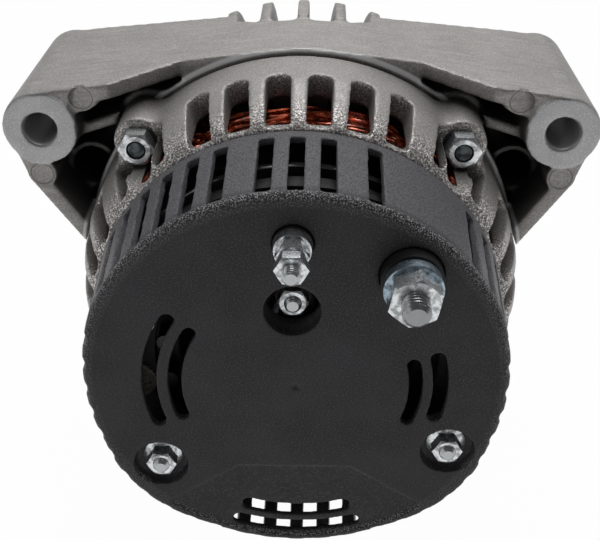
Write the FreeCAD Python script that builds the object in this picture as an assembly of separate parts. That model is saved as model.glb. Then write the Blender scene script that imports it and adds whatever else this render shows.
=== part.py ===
import FreeCAD, Part
import math
import os

# Automotive alternator seen from its slip-ring end, built piece by piece.
# Working frame: millimetres, +Z up, the shaft along Y, station 0 at the rear cover's outer face and
# stations growing toward the pulley. Angles run from the top (+Z) toward +X.
# Every piece is exported with the origin moved to the midpoint between the two ear bores, in the
# plane of their rear faces.

# Stator and rotor
STATOR_BORE_R = 49.2
STATOR_LENGTH = 34.0
SLOT_COUNT = 36
SLOT_WIDTH = 4.6
SLOT_MOUTH = 2.4
TOOTH_TIP = 2.0
SLOT_DEPTH = 11.0
BACK_IRON = 3.8
LINER_THICK = 0.25
LINER_STAND_OUT = 0.8
LINER_PLAY = 0.02
WEDGE_DEPTH = 0.8
WIRE_TO_LINER = 0.06
WINDING_REAR = 21.5
WINDING_FRONT = 15.0
WINDING_CLEAR = 1.5
WINDING_SOFT = 4.0
AIR_GAP = 0.6
ROTOR_OVERRUN = 6.0
CLAW_COUNT = 6
CLAW_PLATE = 12.0
CLAW_ROOT_HALF_DEG = 18.5
CLAW_TIP_HALF_DEG = 7.0
CLAW_ROOT_R = 38.0
CLAW_TIP_R = 43.5
CLAW_TIP_SETBACK = 2.5
CLAW_VALLEY_R = 30.0
CLAW_CHAMFER = 2.5
CLAW_SPARE = 4.0
CORE_R = 19.0
COIL_R = 34.5
COIL_PLAY = 0.15
BOBBIN_WALL = 1.2
BOBBIN_FLANGE = 1.5
BOBBIN_PLAY = 0.1

# Castings
STATOR_FIT = 0.05
REAR_WALL = 6.45
DRIVE_WALL = 8.15
COVER_LENGTH = 36.0
SHOULDER_LENGTH = 22.0
REAR_RIM_LENGTH = 19.5
REAR_BORE_DEPTH = 11.0
RIM_GAP = 1.0
SHOULDER_STEP = 7.5
SHOULDER_BULGE = 1.4
CHAMBER_LIP = 1.0
END_WALL = 5.0
END_WALL_SETBACK = 2.0
COVER_SEAT_WIDTH = 3.4
FRONT_CHAMBER = 34.0
BARREL_AHEAD = 9.0
FRONT_WALL = 5.5
VENT_GROUPS = 4
REAR_WINDOWS = 6
REAR_WINDOW_PITCH = 10.25
REAR_WINDOW_WIDTH = 7.4
REAR_WINDOW_CORNER = 3.0
REAR_WINDOW_DEPTH = 8.0
REAR_WINDOW_REACH = 2.8
REAR_FOOT_Y = 1.0
REAR_FOOT_SETBACK = 4.0
REAR_FOOT_WALL = 0.4
SIDE_WINDOW_DEG = 38.0
SIDE_WINDOW_WIDTH = 4.6
SIDE_WINDOW_DEPTH = 4.0
SIDE_WINDOW_START = 2.0
SIDE_WINDOW_SETBACK = 1.0
SIDE_WINDOW_CORNER = 2.1
GRILLE_RIBS = 7
GRILLE_PITCH = 10.0
GRILLE_RIB = 4.0
GRILLE_PROUD = 1.2
GRILLE_RING_R = 54.0
GRILLE_CORNER = 8.0
GRILLE_INNER_CORNER = 6.0
GRILLE_INNER_DROP = 5.0
GRILLE_OVERLAP = 2.0
GRILLE_BITE = 1.0
HUB_FOOT = 2.5
HUB_FOOT_CLEAR = 1.5
HUB_CHAMFER = 1.0
INTAKE_COUNT = 8
INTAKE_OUTER_R = 47.0
INTAKE_SPOKE = 6.0
REAR_VENT_INNER_R = 28.0
REAR_VENT_OUTER_R = 43.0
REAR_VENT_HALF_DEG = 11.0
REAR_VENTS_DEG = (0, 60, 90, 120, 150, 180, 210, 240, 270, 300)
LUG_R = 8.0
DRIVE_LUG_R = 10.0
LUG_FILLET = 5.0
LUG_DEG = 45.0
BOLT_TO_STATOR = 2.4
WRENCH_R = 6.6

# Mounting ears
EAR_BORE_R = 5.25
EAR_BOSS_R = 12.1
EAR_SPACING = 166.0
EAR_HEIGHT = 52.0
EAR_LENGTH = 64.0
EAR_SETBACK = 14.5
EAR_CHAMFER = 0.5
EAR_FACE_STEP = 0.4
EAR_PLATE = 5.2
EAR_RIB = 4.0
EAR_RIB_DROP = 7.0
EAR_RIB_SETBACK = 8.0
EAR_WEB = 4.0
EAR_FRONT_WEB_SETBACK = 7.0
EAR_RING_R = 6.6
EAR_RING_WALL = 2.2
EAR_RING_DEG = 67.0
EAR_RING_STAND_OFF = 4.0
EAR_RING_SETBACK = 5.0
EAR_REAR_TAPER_X = 60.0
EAR_REAR_MERGE_X = 39.0
EAR_MERGE_X = 23.0
EAR_MERGE_START_X = 12.5
EAR_MERGE_AHEAD = 5.0
EAR_FRONT_TAPER_X = 72.0
EAR_FRONT_SETBACK = 7.0
EAR_PLATE_END = 2.0
EAR_FRONT_ROUND = 3.0
STRUT_THICK = 5.3
STRUT_DEG = 33.9
STRUT_STAND_OFF = 2.6
STRUT_BITE = 3.0
STRUT_CORNER_DEG = 134.0
PAD_R = 3.7
PAD_WALL = 1.2
PAD_DEPTH = 0.3
STRUT_PAD_X = 1.4
TOP_PAD_X = 2.0
TOP_PAD_DROP = 1.8
TOP_PAD_SETBACK = 1.2
WEB_ROOT_DEG = (80.0, 45.0)
RIM_CLEAR = 1.0

# Rear cover
COVER_SETBACK = 0.2
COVER_DRAFT = 2.0
COVER_RIM = 2.2
COVER_INNER_RIM = 2.9
COVER_WALL = 2.3
COVER_FACE = 2.6
COVER_SLOT_WIDTH = 4.4
COVER_SLOT_START = 2.7
COVER_SLOT_END = 32.0
COVER_SLOT_PITCH = 8.0
SIDE_SLOT_FIRST = 20.0
SIDE_SLOTS = 13
BOTTOM_SLOT_FIRST = 128.0
BOTTOM_SLOTS = 7
BLIND_FROM = 24.0
BLIND_TO = 48.0
RIM_GROOVE_START = 0.5
RIM_GROOVE_DEPTH = 1.1
RIM_GROOVE_FROM = 120.0
FACET_DEPTH = 0.8
FACET_TOP_Z = -30.3
FACET_TOP_X = (-17.5, 16.7)
FACET_SIDE_X = 46.0
FACET_SIDE_Z = -50.0
FACET_BOTTOM_Z = -70.0
FACET_TO_RIM = 0.6
# Each arc vent in the face: middle radius, width, first and last angle
LEFT_ARC_VENTS = ((42.5, 4.3, -110.6, -54.7), (35.1, 3.9, -110.9, -55.4))
RIGHT_ARC_VENTS = ((34.8, 3.9, 73.0, 112.4), (41.9, 4.4, 72.3, 106.5))
BOTTOM_ARC_VENTS = ((49.4, 4.7, 160.0, 200.0), (56.5, 4.6, 159.5, 200.5))
NUT_POCKET_R = 8.2
NUT_POCKET_DEPTH = 4.5
POCKET_WALL = 1.8
POCKET_START = 0.2
W_POCKET_R = 8.0
W_POCKET_DEPTH = 9.0
TERMINAL_HOLE_CLEAR = 0.3
DIMPLE_R = 1.2
DIMPLE_DEPTH = 0.6

# Fasteners
M4 = 2.0
M5 = 2.5
M6 = 3.0
M16 = 8.0
M5_CREST = 2.45
M5_PITCH = 2.2
M8_CREST = 3.85
M8_PITCH = 3.55
THREAD_FIT = 0.05
BOLT_CLEAR = 0.3
STUD_TIP = 0.2
M4_HEAD_R = 3.2
M4_HEAD = 1.8
M4_HEAD_TOP = 0.72
M4_HEAD_SIDE = 0.55
M5_FLATS = 8.0
M5_NUT = 4.0
M5_HEAD = 1.8
M5_CHAMFER = 0.9
M6_FLATS = 10.0
M6_NUT = 6.0
M6_NUT_CHAMFER = 1.3
M6_HEAD = 4.2
M6_HEAD_CHAMFER = 0.6
M8_FLATS = 13.0
M8_NUT = 8.0
M8_HEAD = 5.0
M8_CHAMFER = 0.8
M16_FLATS = 24.0
M16_NUT = 13.0
M16_CHAMFER = 1.2
BOLT_END = -0.4
STUD_SHORT = 0.5
STUD_TO_NUT = 0.3

# Terminals, as (x, z) from the shaft
B_PLUS_XZ = (31.4, 38.3)
B_PLUS_BUSH_R = 8.6
B_PLUS_BUSH_PROUD = 4.0
B_PLUS_BUSH_WALL = 2.2
B_PLUS_SLEEVE_PROUD = 0.5
B_PLUS_SLEEVE_PLAY = 0.1
B_PLUS_WASHER_R = 8.1
B_PLUS_WASHER = 1.6
B_PLUS_NUT_TURN = -20.0
B_PLUS_NUT_FLANGE = 1.0
B_PLUS_NUT_FLANGE_OVER = 0.4
B_PLUS_PROUD = 20.0
B_PLUS_TIP = 1.0
D_PLUS_XZ = (-0.6, 47.9)
D_PLUS_BUSH_R = 5.4
D_PLUS_BUSH_PROUD = 0.8
D_PLUS_RING_R = 5.1
D_PLUS_RING = 3.2
D_PLUS_NUT_GAP = 2.2
D_PLUS_PROUD = 18.0
W_XZ = (-0.8, 26.3)
W_STUD_START = 2.5
W_STUD_GRIP = 0.8
W_NUT_FACE = 4.0
COVER_STUD_XZ = ((-41.1, -30.2), (45.6, -23.6))
COVER_STUD_PROUD = 1.8
COVER_NUT_FLANGE_R = 5.9
COVER_NUT_FLANGE = 1.1
COVER_NUT_FLANGE_EDGE = 0.4
COVER_NUT_EXTRA = 1.0

# Rectifier
SINK_INNER_R = 43.0
SINK_OUTER_R = 57.5
SINK_SWEEP_DEG = 145.0
SINK_THICK = 3.0
POSITIVE_SINK_Y = 15.0
SINK_GAP = 9.0
BOARD_INNER_R = 36.5
BOARD_OUTER_R = 56.0
BOARD_SWEEP_DEG = 158.0
BOARD_THICK = 3.5
BOARD_OFFSET = 2.5
DIODE_R = 6.35
DIODE_LENGTH = 5.6
DIODE_PROUD = 1.4
DIODE_PITCH_R = 50.0
DIODE_LEAD_R = 0.8
POSITIVE_DIODES_DEG = (-100.0, -74.0, -48.0)
NEGATIVE_DIODES_DEG = (66.0, 90.0, -87.0)
EXCITER_DEG = (-62.0, -82.0, -102.0)
EXCITER_R = 2.6
EXCITER_LENGTH = 7.0
EXCITER_PITCH_R = 39.6
SINK_SCREW_DEG = -26.0
SINK_SCREW_PITCH_R = 50.5
SPACER_WALL = 2.2
SPACER_FIT = 0.1
SPACER_COLLAR = 1.6
HEAD_CLEAR = 0.6
PHASE_LEAD_DEG = (150.0, -150.0, 155.0)
PHASE_LEAD_R = 1.0
PHASE_LEAD_PITCH_R = 53.8
STUD_BOSS_R = 6.0
HOLDER_BOSS_R = 4.8

# Brush gear
RING_R = 8.0
RING_BORE_R = 6.4
RING_WIDTH = 5.0
RING_GAP = 3.0
RING_START = 14.0
RING_STAND_OUT = 0.3
BRUSH_DEEP = 4.6
BRUSH_WIDE = 6.4
BRUSH_TALL = 14.0
BRUSH_CLEAR = 0.15
BRUSH_TO_RING = 0.15
BRUSH_WRAP = 0.6
SPRING_ROOM = 11.0
SPRING_R = 1.7
SPRING_WIRE = 0.6
SPRING_TURNS = 5
SPRING_END_GAP = 0.1
HOLDER_TO_RING = 1.6
HOLDER_WALL = 1.8
HOLDER_ROOF = 2.5
HUB_TO_HOLDER = 0.5
FLANGE_THICK = 3.0
FLANGE_HALF_X = 21.0
FLANGE_CORNER = 4.0
FLANGE_Z = (24.0, 34.0)
FLANGE_SCREW_XZ = ((-16.5, 28.6), (16.5, 28.6))
REGULATOR_X = (7.6, 24.0)
REGULATOR_Z = (5.0, 21.0)
REGULATOR_REAR = 13.0
REGULATOR_CORNER = 2.0
REGULATOR_EDGE = 1.0
REGULATOR_ARM = 2.5
FINS = 5
FIN_PITCH = 3.2
FIN_HEIGHT = 3.0
W_BOSS_R = 5.0

# Shaft, bearings and pulley
SHAFT_R = 9.5
JOURNAL_R = 8.5
SLIP_SEAT_R = 5.0
SHAFT_REAR = 12.0
SHAFT_CHAMFER = 0.5
SHAFT_STEP_CLEAR = 0.2
SOCKET_FLATS = 8.0
SOCKET_DEPTH = 9.0
SLIP_HUB_CLEAR = 0.4
REAR_BEARING_R = 17.5
REAR_BEARING_WIDTH = 10.0
REAR_BALL_R = 2.9
REAR_BALLS = 9
FRONT_BEARING_R = 23.5
FRONT_BEARING_WIDTH = 14.0
FRONT_BALL_R = 4.3
FRONT_BALLS = 7
BALL_CLEAR = 0.1
CAGE_HALF_WALL = 0.6
CAGE_HORN = 0.3
CAGE_BACK = 0.6
RACE_SHOULDER = 0.55
SHIELD_THICK = 0.6
SHIELD_INSET = 0.3
SHIELD_FIT = 0.02
SHIELD_CLEAR = 0.3
REAR_BEARING_LIP = 3.0
FRONT_BEARING_LIP = 2.5
HUB_WALL = 4.5
HUB_INSET = 2.0
HUB_EYE_CLEAR = 1.0
HUB_PAST_BEARING = 1.0
RETAINER_R = 30.0
RETAINER_THICK = 2.0
RETAINER_DEG = 45.0
RETAINER_SCREWS = 4
RETAINER_GRIP = 7.0
RETAINER_SCREW_EDGE = 1.2
RETAINER_BORE_OVER = 1.3
SPACER_R = 12.0
PULLEY_GAP = 5.0
PULLEY_R = 29.5
PULLEY_GROOVES = 8
PULLEY_PITCH = 3.56
PULLEY_CREST = 0.7
PULLEY_ROOT = 0.6
PULLEY_GROOVE_DEPTH = 3.2
PULLEY_FLANGE = 1.9
PULLEY_FLANGE_R = 31.0
PULLEY_WEB = 10.0
PULLEY_RIM = 4.5
PULLEY_CHAMFER = 0.6
PULLEY_RECESS_ROUND = 3.0
PULLEY_NUT_FLANGE_R = 14.5
PULLEY_NUT_FLANGE = 3.0
SHAFT_PROUD = 3.0
FAN_PLATE = 1.4
FAN_HEIGHT = 8.0
FAN_R = 46.5
FAN_BLADE_INNER_R = 34.0
FAN_BLADE = 1.3
FAN_BLADE_CURVE = 19.0
FAN_BLADE_DEG = (-128.0, -82.0)
FRONT_FAN_BLADES = 11
REAR_FAN_BLADES = 12
FAN_NOTCH_R = 5.0
FAN_NOTCH_SHIFT = 0.42
FAN_EYE_CLEAR = 2.0

# Stations worked out from the sizes above
SEAM_Y = COVER_LENGTH
SEAT_Y = SEAM_Y + SHOULDER_LENGTH
REAR_RIM_Y = SEAT_Y + REAR_RIM_LENGTH
STATOR_Y0 = REAR_RIM_Y - REAR_BORE_DEPTH
STATOR_Y1 = STATOR_Y0 + STATOR_LENGTH
DRIVE_Y0 = REAR_RIM_Y + RIM_GAP
BARREL_Y1 = STATOR_Y1 + BARREL_AHEAD
DRIVE_Y1 = STATOR_Y1 + FRONT_CHAMBER
EAR_Y0 = DRIVE_Y0 - EAR_SETBACK
EAR_Y1 = EAR_Y0 + EAR_LENGTH
WALL_Y0 = SEAM_Y + END_WALL_SETBACK
WALL_Y1 = WALL_Y0 + END_WALL
ROTOR_Y0 = STATOR_Y0 - ROTOR_OVERRUN
ROTOR_Y1 = STATOR_Y1 + ROTOR_OVERRUN
ROTOR_MID = (ROTOR_Y0 + ROTOR_Y1) / 2
REAR_BEARING_Y1 = WALL_Y1 + HUB_PAST_BEARING
REAR_BEARING_Y0 = REAR_BEARING_Y1 - REAR_BEARING_WIDTH
REAR_HUB_Y0 = REAR_BEARING_Y0 - REAR_BEARING_LIP
REAR_HUB_Y1 = REAR_BEARING_Y1 + HUB_INSET
HUB_Y1 = DRIVE_Y1 + FRONT_BEARING_LIP - HUB_PAST_BEARING
FRONT_BEARING_Y1 = HUB_Y1 - FRONT_BEARING_LIP
FRONT_BEARING_Y0 = FRONT_BEARING_Y1 - FRONT_BEARING_WIDTH
HUB_Y0 = FRONT_BEARING_Y0
PULLEY_Y0 = FRONT_BEARING_Y1 + PULLEY_GAP
PULLEY_LENGTH = PULLEY_GROOVES * PULLEY_PITCH + 2 * PULLEY_FLANGE
PULLEY_Y1 = PULLEY_Y0 + PULLEY_LENGTH
PULLEY_SEAT_Y = PULLEY_Y0 + PULLEY_WEB
NUT_Y0 = PULLEY_SEAT_Y
SHAFT_Y1 = NUT_Y0 + M16_NUT + SHAFT_PROUD
NEGATIVE_SINK_Y = POSITIVE_SINK_Y + SINK_THICK + SINK_GAP
BOARD_Y = POSITIVE_SINK_Y + SINK_THICK + BOARD_OFFSET
STUD_BOSS_Y = NEGATIVE_SINK_Y + SINK_THICK
HOLDER_FLANGE_Y1 = REAR_HUB_Y0 - HUB_TO_HOLDER
SLIP_END_Y = REAR_HUB_Y0 - SLIP_HUB_CLEAR
HOLDER_TOP_Z = RING_R + BRUSH_TO_RING + BRUSH_TALL + SPRING_ROOM

# Radii worked out from the sizes above
SLOT_INNER_R = STATOR_BORE_R + TOOTH_TIP
SLOT_OUTER_R = SLOT_INNER_R + SLOT_DEPTH
STATOR_R = SLOT_OUTER_R + BACK_IRON
CHAMBER_R = STATOR_R - CHAMBER_LIP
WINDING_INNER_R = SLOT_INNER_R + WEDGE_DEPTH
WINDING_OUTER_R = CHAMBER_R - WINDING_CLEAR
BORE_R = STATOR_R + STATOR_FIT
REAR_R = BORE_R + REAR_WALL
DRIVE_R = BORE_R + DRIVE_WALL
SHOULDER_R = REAR_R - SHOULDER_STEP
COVER_OPEN_R = SHOULDER_R - COVER_SETBACK
COVER_R = COVER_OPEN_R - COVER_DRAFT
BOLT_PITCH_R = STATOR_R + BOLT_TO_STATOR + M6
ROTOR_R = STATOR_BORE_R - AIR_GAP
EAR_X = EAR_SPACING / 2
FRONT_HUB_R = FRONT_BEARING_R + HUB_WALL
REAR_HUB_R = REAR_BEARING_R + HUB_WALL
SPACER_R_OUT = M5 + SPACER_WALL
REAR_RACE_R = (REAR_BEARING_R + JOURNAL_R) / 2
FRONT_RACE_R = (FRONT_BEARING_R + JOURNAL_R) / 2

BIG = 400.0
PAST = 1.0
NEAR = 0.01
ORIGIN = FreeCAD.Vector(0, 0, 0)
ALONG = FreeCAD.Vector(0, 1, 0)
UP = FreeCAD.Vector(0, 0, 1)


def point(x, y, z):
    return FreeCAD.Vector(x, y, z)


def polar(radius, degrees):
    """x and z of a point at a radius and an angle from the top."""
    angle = math.radians(degrees)
    return radius * math.sin(angle), radius * math.cos(angle)


def rod(radius, y0, y1, x=0.0, z=0.0):
    return Part.makeCylinder(radius, y1 - y0, point(x, y0, z), ALONG)


def tube(r_out, r_in, y0, y1, x=0.0, z=0.0):
    return rod(r_out, y0, y1, x, z).cut(rod(r_in, y0 - PAST, y1 + PAST, x, z))


def block(x0, x1, y0, y1, z0, z1):
    return Part.makeBox(x1 - x0, y1 - y0, z1 - z0, point(x0, y0, z0))


def spun(shape, degrees):
    """A copy turned about the shaft, from the top toward +X."""
    turned_copy = shape.copy()
    turned_copy.rotate(ORIGIN, ALONG, degrees)
    return turned_copy


def moved(shape, x, z, y=0.0):
    shifted = shape.copy()
    shifted.translate(point(x, y, z))
    return shifted


def mirrored(shape):
    """The same piece on the other side of the upright plane through the shaft."""
    return shape.mirror(ORIGIN, point(1, 0, 0))


def upright(solid):
    if solid.Volume < 0:
        solid.reverse()
    return solid


def path(start, steps, to_vector):
    """A closed wire: a step of two numbers is a line, a step of two points is an arc through the first."""
    edges = []
    here = start
    for step in list(steps) + [start]:
        if isinstance(step[0], tuple):
            middle, there = step
            edges.append(Part.Arc(to_vector(here), to_vector(middle), to_vector(there)).toShape())
        else:
            there = step
            if to_vector(here).distanceToPoint(to_vector(there)) > 1e-6:
                edges.append(Part.makeLine(to_vector(here), to_vector(there)))
        here = there
    return Part.Wire(edges)


def turned(start, *steps):
    """A solid of revolution about the shaft from (station, radius) points."""
    wire = path(start, steps, lambda p: point(0, p[0], p[1]))
    return upright(Part.Face(wire).revolve(ORIGIN, ALONG, 360))


def slab(start, *steps, y0, y1):
    """An outline of (x, z) points made solid between two stations."""
    wire = path(start, steps, lambda p: point(p[0], y0, p[1]))
    return upright(Part.Face(wire).extrude(point(0, y1 - y0, 0)))


def cutter_xy(start, *steps, z0=-BIG, z1=BIG):
    """An outline of (x, station) points made solid between two heights."""
    wire = path(start, steps, lambda p: point(p[0], p[1], z0))
    return upright(Part.Face(wire).extrude(point(0, 0, z1 - z0)))


def sector(r_in, r_out, y0, y1, a0, a1):
    wire = Part.makePolygon(
        [point(0, y0, r_in), point(0, y1, r_in), point(0, y1, r_out), point(0, y0, r_out), point(0, y0, r_in)]
    )
    face = Part.Face(wire)
    face.rotate(ORIGIN, ALONG, a0)
    return upright(face.revolve(ORIGIN, ALONG, a1 - a0))


def arc_slot(r_mid, width, a0, a1, y0, y1):
    """A slot along an arc, with round ends whose tips are at the two angles."""
    tip = math.degrees(width / 2 / r_mid)
    x0, z0 = polar(r_mid, a0 + tip)
    x1, z1 = polar(r_mid, a1 - tip)
    body = sector(r_mid - width / 2, r_mid + width / 2, y0, y1, a0 + tip, a1 - tip)
    return body.fuse([rod(width / 2, y0, y1, x0, z0), rod(width / 2, y0, y1, x1, z1)])


def window(width, y0, y1, z0, z1, corner):
    """A rounded opening cut inward from the top."""
    box = block(-width / 2, width / 2, y0, y1, z0, z1)
    edges = [e for e in box.Edges if abs(e.tangentAt(e.FirstParameter).z) > 0.9]
    return box.makeFillet(corner, edges)


def corner_radius(flats):
    return flats / math.sqrt(3)


def hexagon(flats, y0, y1, x=0.0, z=0.0, chamfer=0.0, turn=0.0):
    corner_r = corner_radius(flats)
    points = [point(*polar_point(corner_r, 60 * k + 30 + turn, y0)) for k in range(7)]
    body = Part.Face(Part.makePolygon(points)).extrude(point(0, y1 - y0, 0))
    if chamfer:
        drop = chamfer * math.tan(math.radians(30))
        lens = turned(
            (y0, 0), (y0, corner_r - chamfer), (y0 + drop, corner_r), (y1 - drop, corner_r), (y1, corner_r - chamfer),
            (y1, 0),
        )
        body = body.common(lens)
    return moved(upright(body), x, z)


def polar_point(radius, degrees, y):
    x, z = polar(radius, degrees)
    return x, y, z


def fused(pieces):
    whole = pieces[0].fuse(pieces[1:]) if len(pieces) > 1 else pieces[0]
    return whole.removeSplitter()


def group(pieces):
    return Part.makeCompound(pieces)


def export(name, shape):
    placed = shape.copy()
    placed.translate(point(0, -EAR_Y0, -EAR_HEIGHT))
    placed.exportStep("parts/" + name + ".step")


# Castings


def lug_angles():
    return (LUG_DEG, 180 - LUG_DEG, 180 + LUG_DEG, -LUG_DEG)


def with_lugs(body, body_r, lug_r, y0, y1):
    """Adds the four through-bolt lugs to a round body, with fillets where they meet it."""
    centres = [polar(BOLT_PITCH_R, a) for a in lug_angles()]
    whole = body.fuse([rod(lug_r, y0, y1, x, z) for x, z in centres]).removeSplitter()
    corners = []
    for edge in whole.Edges:
        if len(edge.Vertexes) < 2 or edge.Length < (y1 - y0) / 2:
            continue
        spot = edge.valueAt((edge.FirstParameter + edge.LastParameter) / 2)
        on_body = abs(math.hypot(spot.x, spot.z) - body_r) < NEAR
        on_lug = any(abs(math.hypot(spot.x - x, spot.z - z) - lug_r) < NEAR for x, z in centres)
        if on_body and on_lug:
            corners.append(edge)
    return whole.makeFillet(LUG_FILLET, corners)


def bolt_holes(y0, y1):
    return [rod(M6 + BOLT_CLEAR, y0, y1, *polar(BOLT_PITCH_R, a)) for a in lug_angles()]


def rear_shell():
    """The rear bracket's outside: a rounded shoulder that opens into the rim."""
    mid_y = (SEAM_Y + SEAT_Y) / 2
    mid_r = (SHOULDER_R + REAR_R) / 2 + SHOULDER_BULGE
    shoulder = turned(
        (SEAM_Y, 0), (SEAM_Y, SHOULDER_R), ((mid_y, mid_r), (SEAT_Y, REAR_R)), (SEAT_Y, 0)
    )
    rim = with_lugs(rod(REAR_R, SEAT_Y, REAR_RIM_Y), REAR_R, LUG_R, SEAT_Y, REAR_RIM_Y)
    return shoulder.fuse(rim)


def rear_windows():
    top = REAR_R + LUG_R
    first = -REAR_WINDOW_PITCH * (REAR_WINDOWS - 1) / 2
    long_window = window(
        REAR_WINDOW_WIDTH, WALL_Y1, SEAT_Y + REAR_WINDOW_REACH, CHAMBER_R - REAR_WINDOW_DEPTH, top,
        REAR_WINDOW_CORNER,
    )
    foot = window(
        REAR_WINDOW_WIDTH, SEAM_Y + REAR_FOOT_Y, SEAT_Y - REAR_FOOT_SETBACK, CHAMBER_R - REAR_FOOT_WALL, top,
        REAR_WINDOW_CORNER,
    )
    side = window(
        SIDE_WINDOW_WIDTH, WALL_Y0 + SIDE_WINDOW_START, SEAT_Y - SIDE_WINDOW_SETBACK,
        CHAMBER_R - SIDE_WINDOW_DEPTH, top, SIDE_WINDOW_CORNER,
    )
    cuts = []
    for g in range(VENT_GROUPS):
        centre = g * 360 / VENT_GROUPS
        for k in range(REAR_WINDOWS):
            angle = centre + first + k * REAR_WINDOW_PITCH
            cuts.append(spun(long_window.fuse(foot), angle))
        cuts.append(spun(side, centre - SIDE_WINDOW_DEG))
        cuts.append(spun(side, centre + SIDE_WINDOW_DEG))
    return cuts


def rear_wall_vents():
    cuts = []
    for angle in REAR_VENTS_DEG:
        cuts.append(
            sector(
                REAR_VENT_INNER_R, REAR_VENT_OUTER_R, WALL_Y0 - PAST, WALL_Y1 + PAST,
                angle - REAR_VENT_HALF_DEG, angle + REAR_VENT_HALF_DEG,
            )
        )
    return cuts


def sink_fixings():
    """Where the rectifier is screwed down: the two cover studs and one screw near the top."""
    return list(COVER_STUD_XZ) + [polar(SINK_SCREW_PITCH_R, SINK_SCREW_DEG)]


def rear_bracket():
    shell = rear_shell()
    seat_r = SHOULDER_R - COVER_SEAT_WIDTH
    cavity = turned(
        (WALL_Y1, 0), (WALL_Y1, CHAMBER_R), (STATOR_Y0, CHAMBER_R), (STATOR_Y0, BORE_R),
        (REAR_RIM_Y + PAST, BORE_R), (REAR_RIM_Y + PAST, 0),
    )
    wrench = [rod(WRENCH_R, SEAM_Y - PAST, SEAT_Y, *polar(BOLT_PITCH_R, a)) for a in lug_angles()]
    seat = rod(seat_r, SEAM_Y - PAST, WALL_Y0)
    shell = shell.cut([seat, cavity] + wrench + bolt_holes(SEAT_Y - PAST, REAR_RIM_Y + PAST))
    shell = shell.cut(rear_windows() + rear_wall_vents())
    bosses = [rod(REAR_HUB_R, REAR_HUB_Y0, REAR_HUB_Y1)]
    bosses += [rod(STUD_BOSS_R, STUD_BOSS_Y, WALL_Y1, x, z) for x, z in sink_fixings()]
    bosses += [rod(HOLDER_BOSS_R, HOLDER_FLANGE_Y1, WALL_Y1, x, z) for x, z in FLANGE_SCREW_XZ]
    shell = fused([shell] + bosses)
    past_wall = WALL_Y1 + PAST
    bores = [rod(REAR_BEARING_R + THREAD_FIT, REAR_BEARING_Y0, REAR_HUB_Y1 + PAST)]
    bores += [rod(SPACER_R + HUB_EYE_CLEAR, REAR_HUB_Y0 - PAST, REAR_HUB_Y1)]
    bores += [rod(M5 + THREAD_FIT, STUD_BOSS_Y - PAST, past_wall, x, z) for x, z in COVER_STUD_XZ]
    bores += [rod(M4 + THREAD_FIT, STUD_BOSS_Y - PAST, past_wall, x, z) for x, z in sink_fixings()[2:]]
    bores += [rod(M4 + THREAD_FIT, HOLDER_FLANGE_Y1 - PAST, past_wall, x, z) for x, z in FLANGE_SCREW_XZ]
    bores += [
        rod(PHASE_LEAD_R + BOLT_CLEAR, WALL_Y0 - PAST, past_wall, *polar(PHASE_LEAD_PITCH_R, a))
        for a in PHASE_LEAD_DEG
    ]
    return shell.cut(bores)


def grille_rib():
    """One vent rib, proud of the barrel: it turns the front corner and runs in to the face ring."""
    half = GRILLE_RIB / 2
    outer_r = DRIVE_R + GRILLE_PROUD
    inner_r = CHAMBER_R - GRILLE_BITE
    bend = GRILLE_CORNER * (1 - math.sqrt(0.5))
    inner_bend = GRILLE_INNER_CORNER * (1 - math.sqrt(0.5))
    back_y = DRIVE_Y1 - FRONT_WALL
    wire = path(
        (BARREL_Y1 - GRILLE_OVERLAP, DRIVE_R - GRILLE_PROUD),
        (
            (BARREL_Y1 + GRILLE_PROUD, outer_r),
            (DRIVE_Y1 - GRILLE_CORNER, outer_r),
            ((DRIVE_Y1 - bend, outer_r - bend), (DRIVE_Y1, outer_r - GRILLE_CORNER)),
            (DRIVE_Y1, GRILLE_RING_R - GRILLE_OVERLAP),
            (back_y, GRILLE_RING_R - GRILLE_OVERLAP),
            (back_y, inner_r - GRILLE_INNER_CORNER),
            ((back_y - inner_bend, inner_r - inner_bend), (back_y - GRILLE_INNER_CORNER, inner_r)),
            (BARREL_Y1 - GRILLE_OVERLAP, inner_r),
        ),
        lambda p: point(-half, p[0], p[1]),
    )
    return upright(Part.Face(wire).extrude(point(GRILLE_RIB, 0, 0)))


def front_wall():
    """The face ring, its intake openings between spokes and the bearing hub."""
    ring = rod(GRILLE_RING_R, DRIVE_Y1 - FRONT_WALL, DRIVE_Y1)
    step = 360 / INTAKE_COUNT
    inner_r = FRONT_HUB_R + HUB_FOOT_CLEAR
    mid_r = (inner_r + INTAKE_OUTER_R) / 2
    half = step / 2 - math.degrees(INTAKE_SPOKE / 2 / mid_r)
    y0, y1 = DRIVE_Y1 - FRONT_WALL - PAST, DRIVE_Y1 + PAST
    intakes = [
        sector(inner_r, INTAKE_OUTER_R, y0, y1, k * step - half, k * step + half) for k in range(INTAKE_COUNT)
    ]
    hub = turned(
        (HUB_Y0, 0), (HUB_Y0, FRONT_HUB_R + HUB_FOOT), (DRIVE_Y1 - FRONT_WALL, FRONT_HUB_R + HUB_FOOT),
        (DRIVE_Y1, FRONT_HUB_R), (HUB_Y1, FRONT_HUB_R - HUB_CHAMFER), (HUB_Y1, 0),
    )
    return ring.cut(intakes).fuse(hub)


def ear_direction():
    """Unit normal of the ear's top face: it touches the barrel and the boss."""
    reach = math.hypot(EAR_X, EAR_HEIGHT)
    lean = math.acos((DRIVE_R - EAR_BOSS_R) / reach)
    base = math.atan2(EAR_X, EAR_HEIGHT)
    angle = base - lean
    return math.sin(angle), math.cos(angle)


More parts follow.
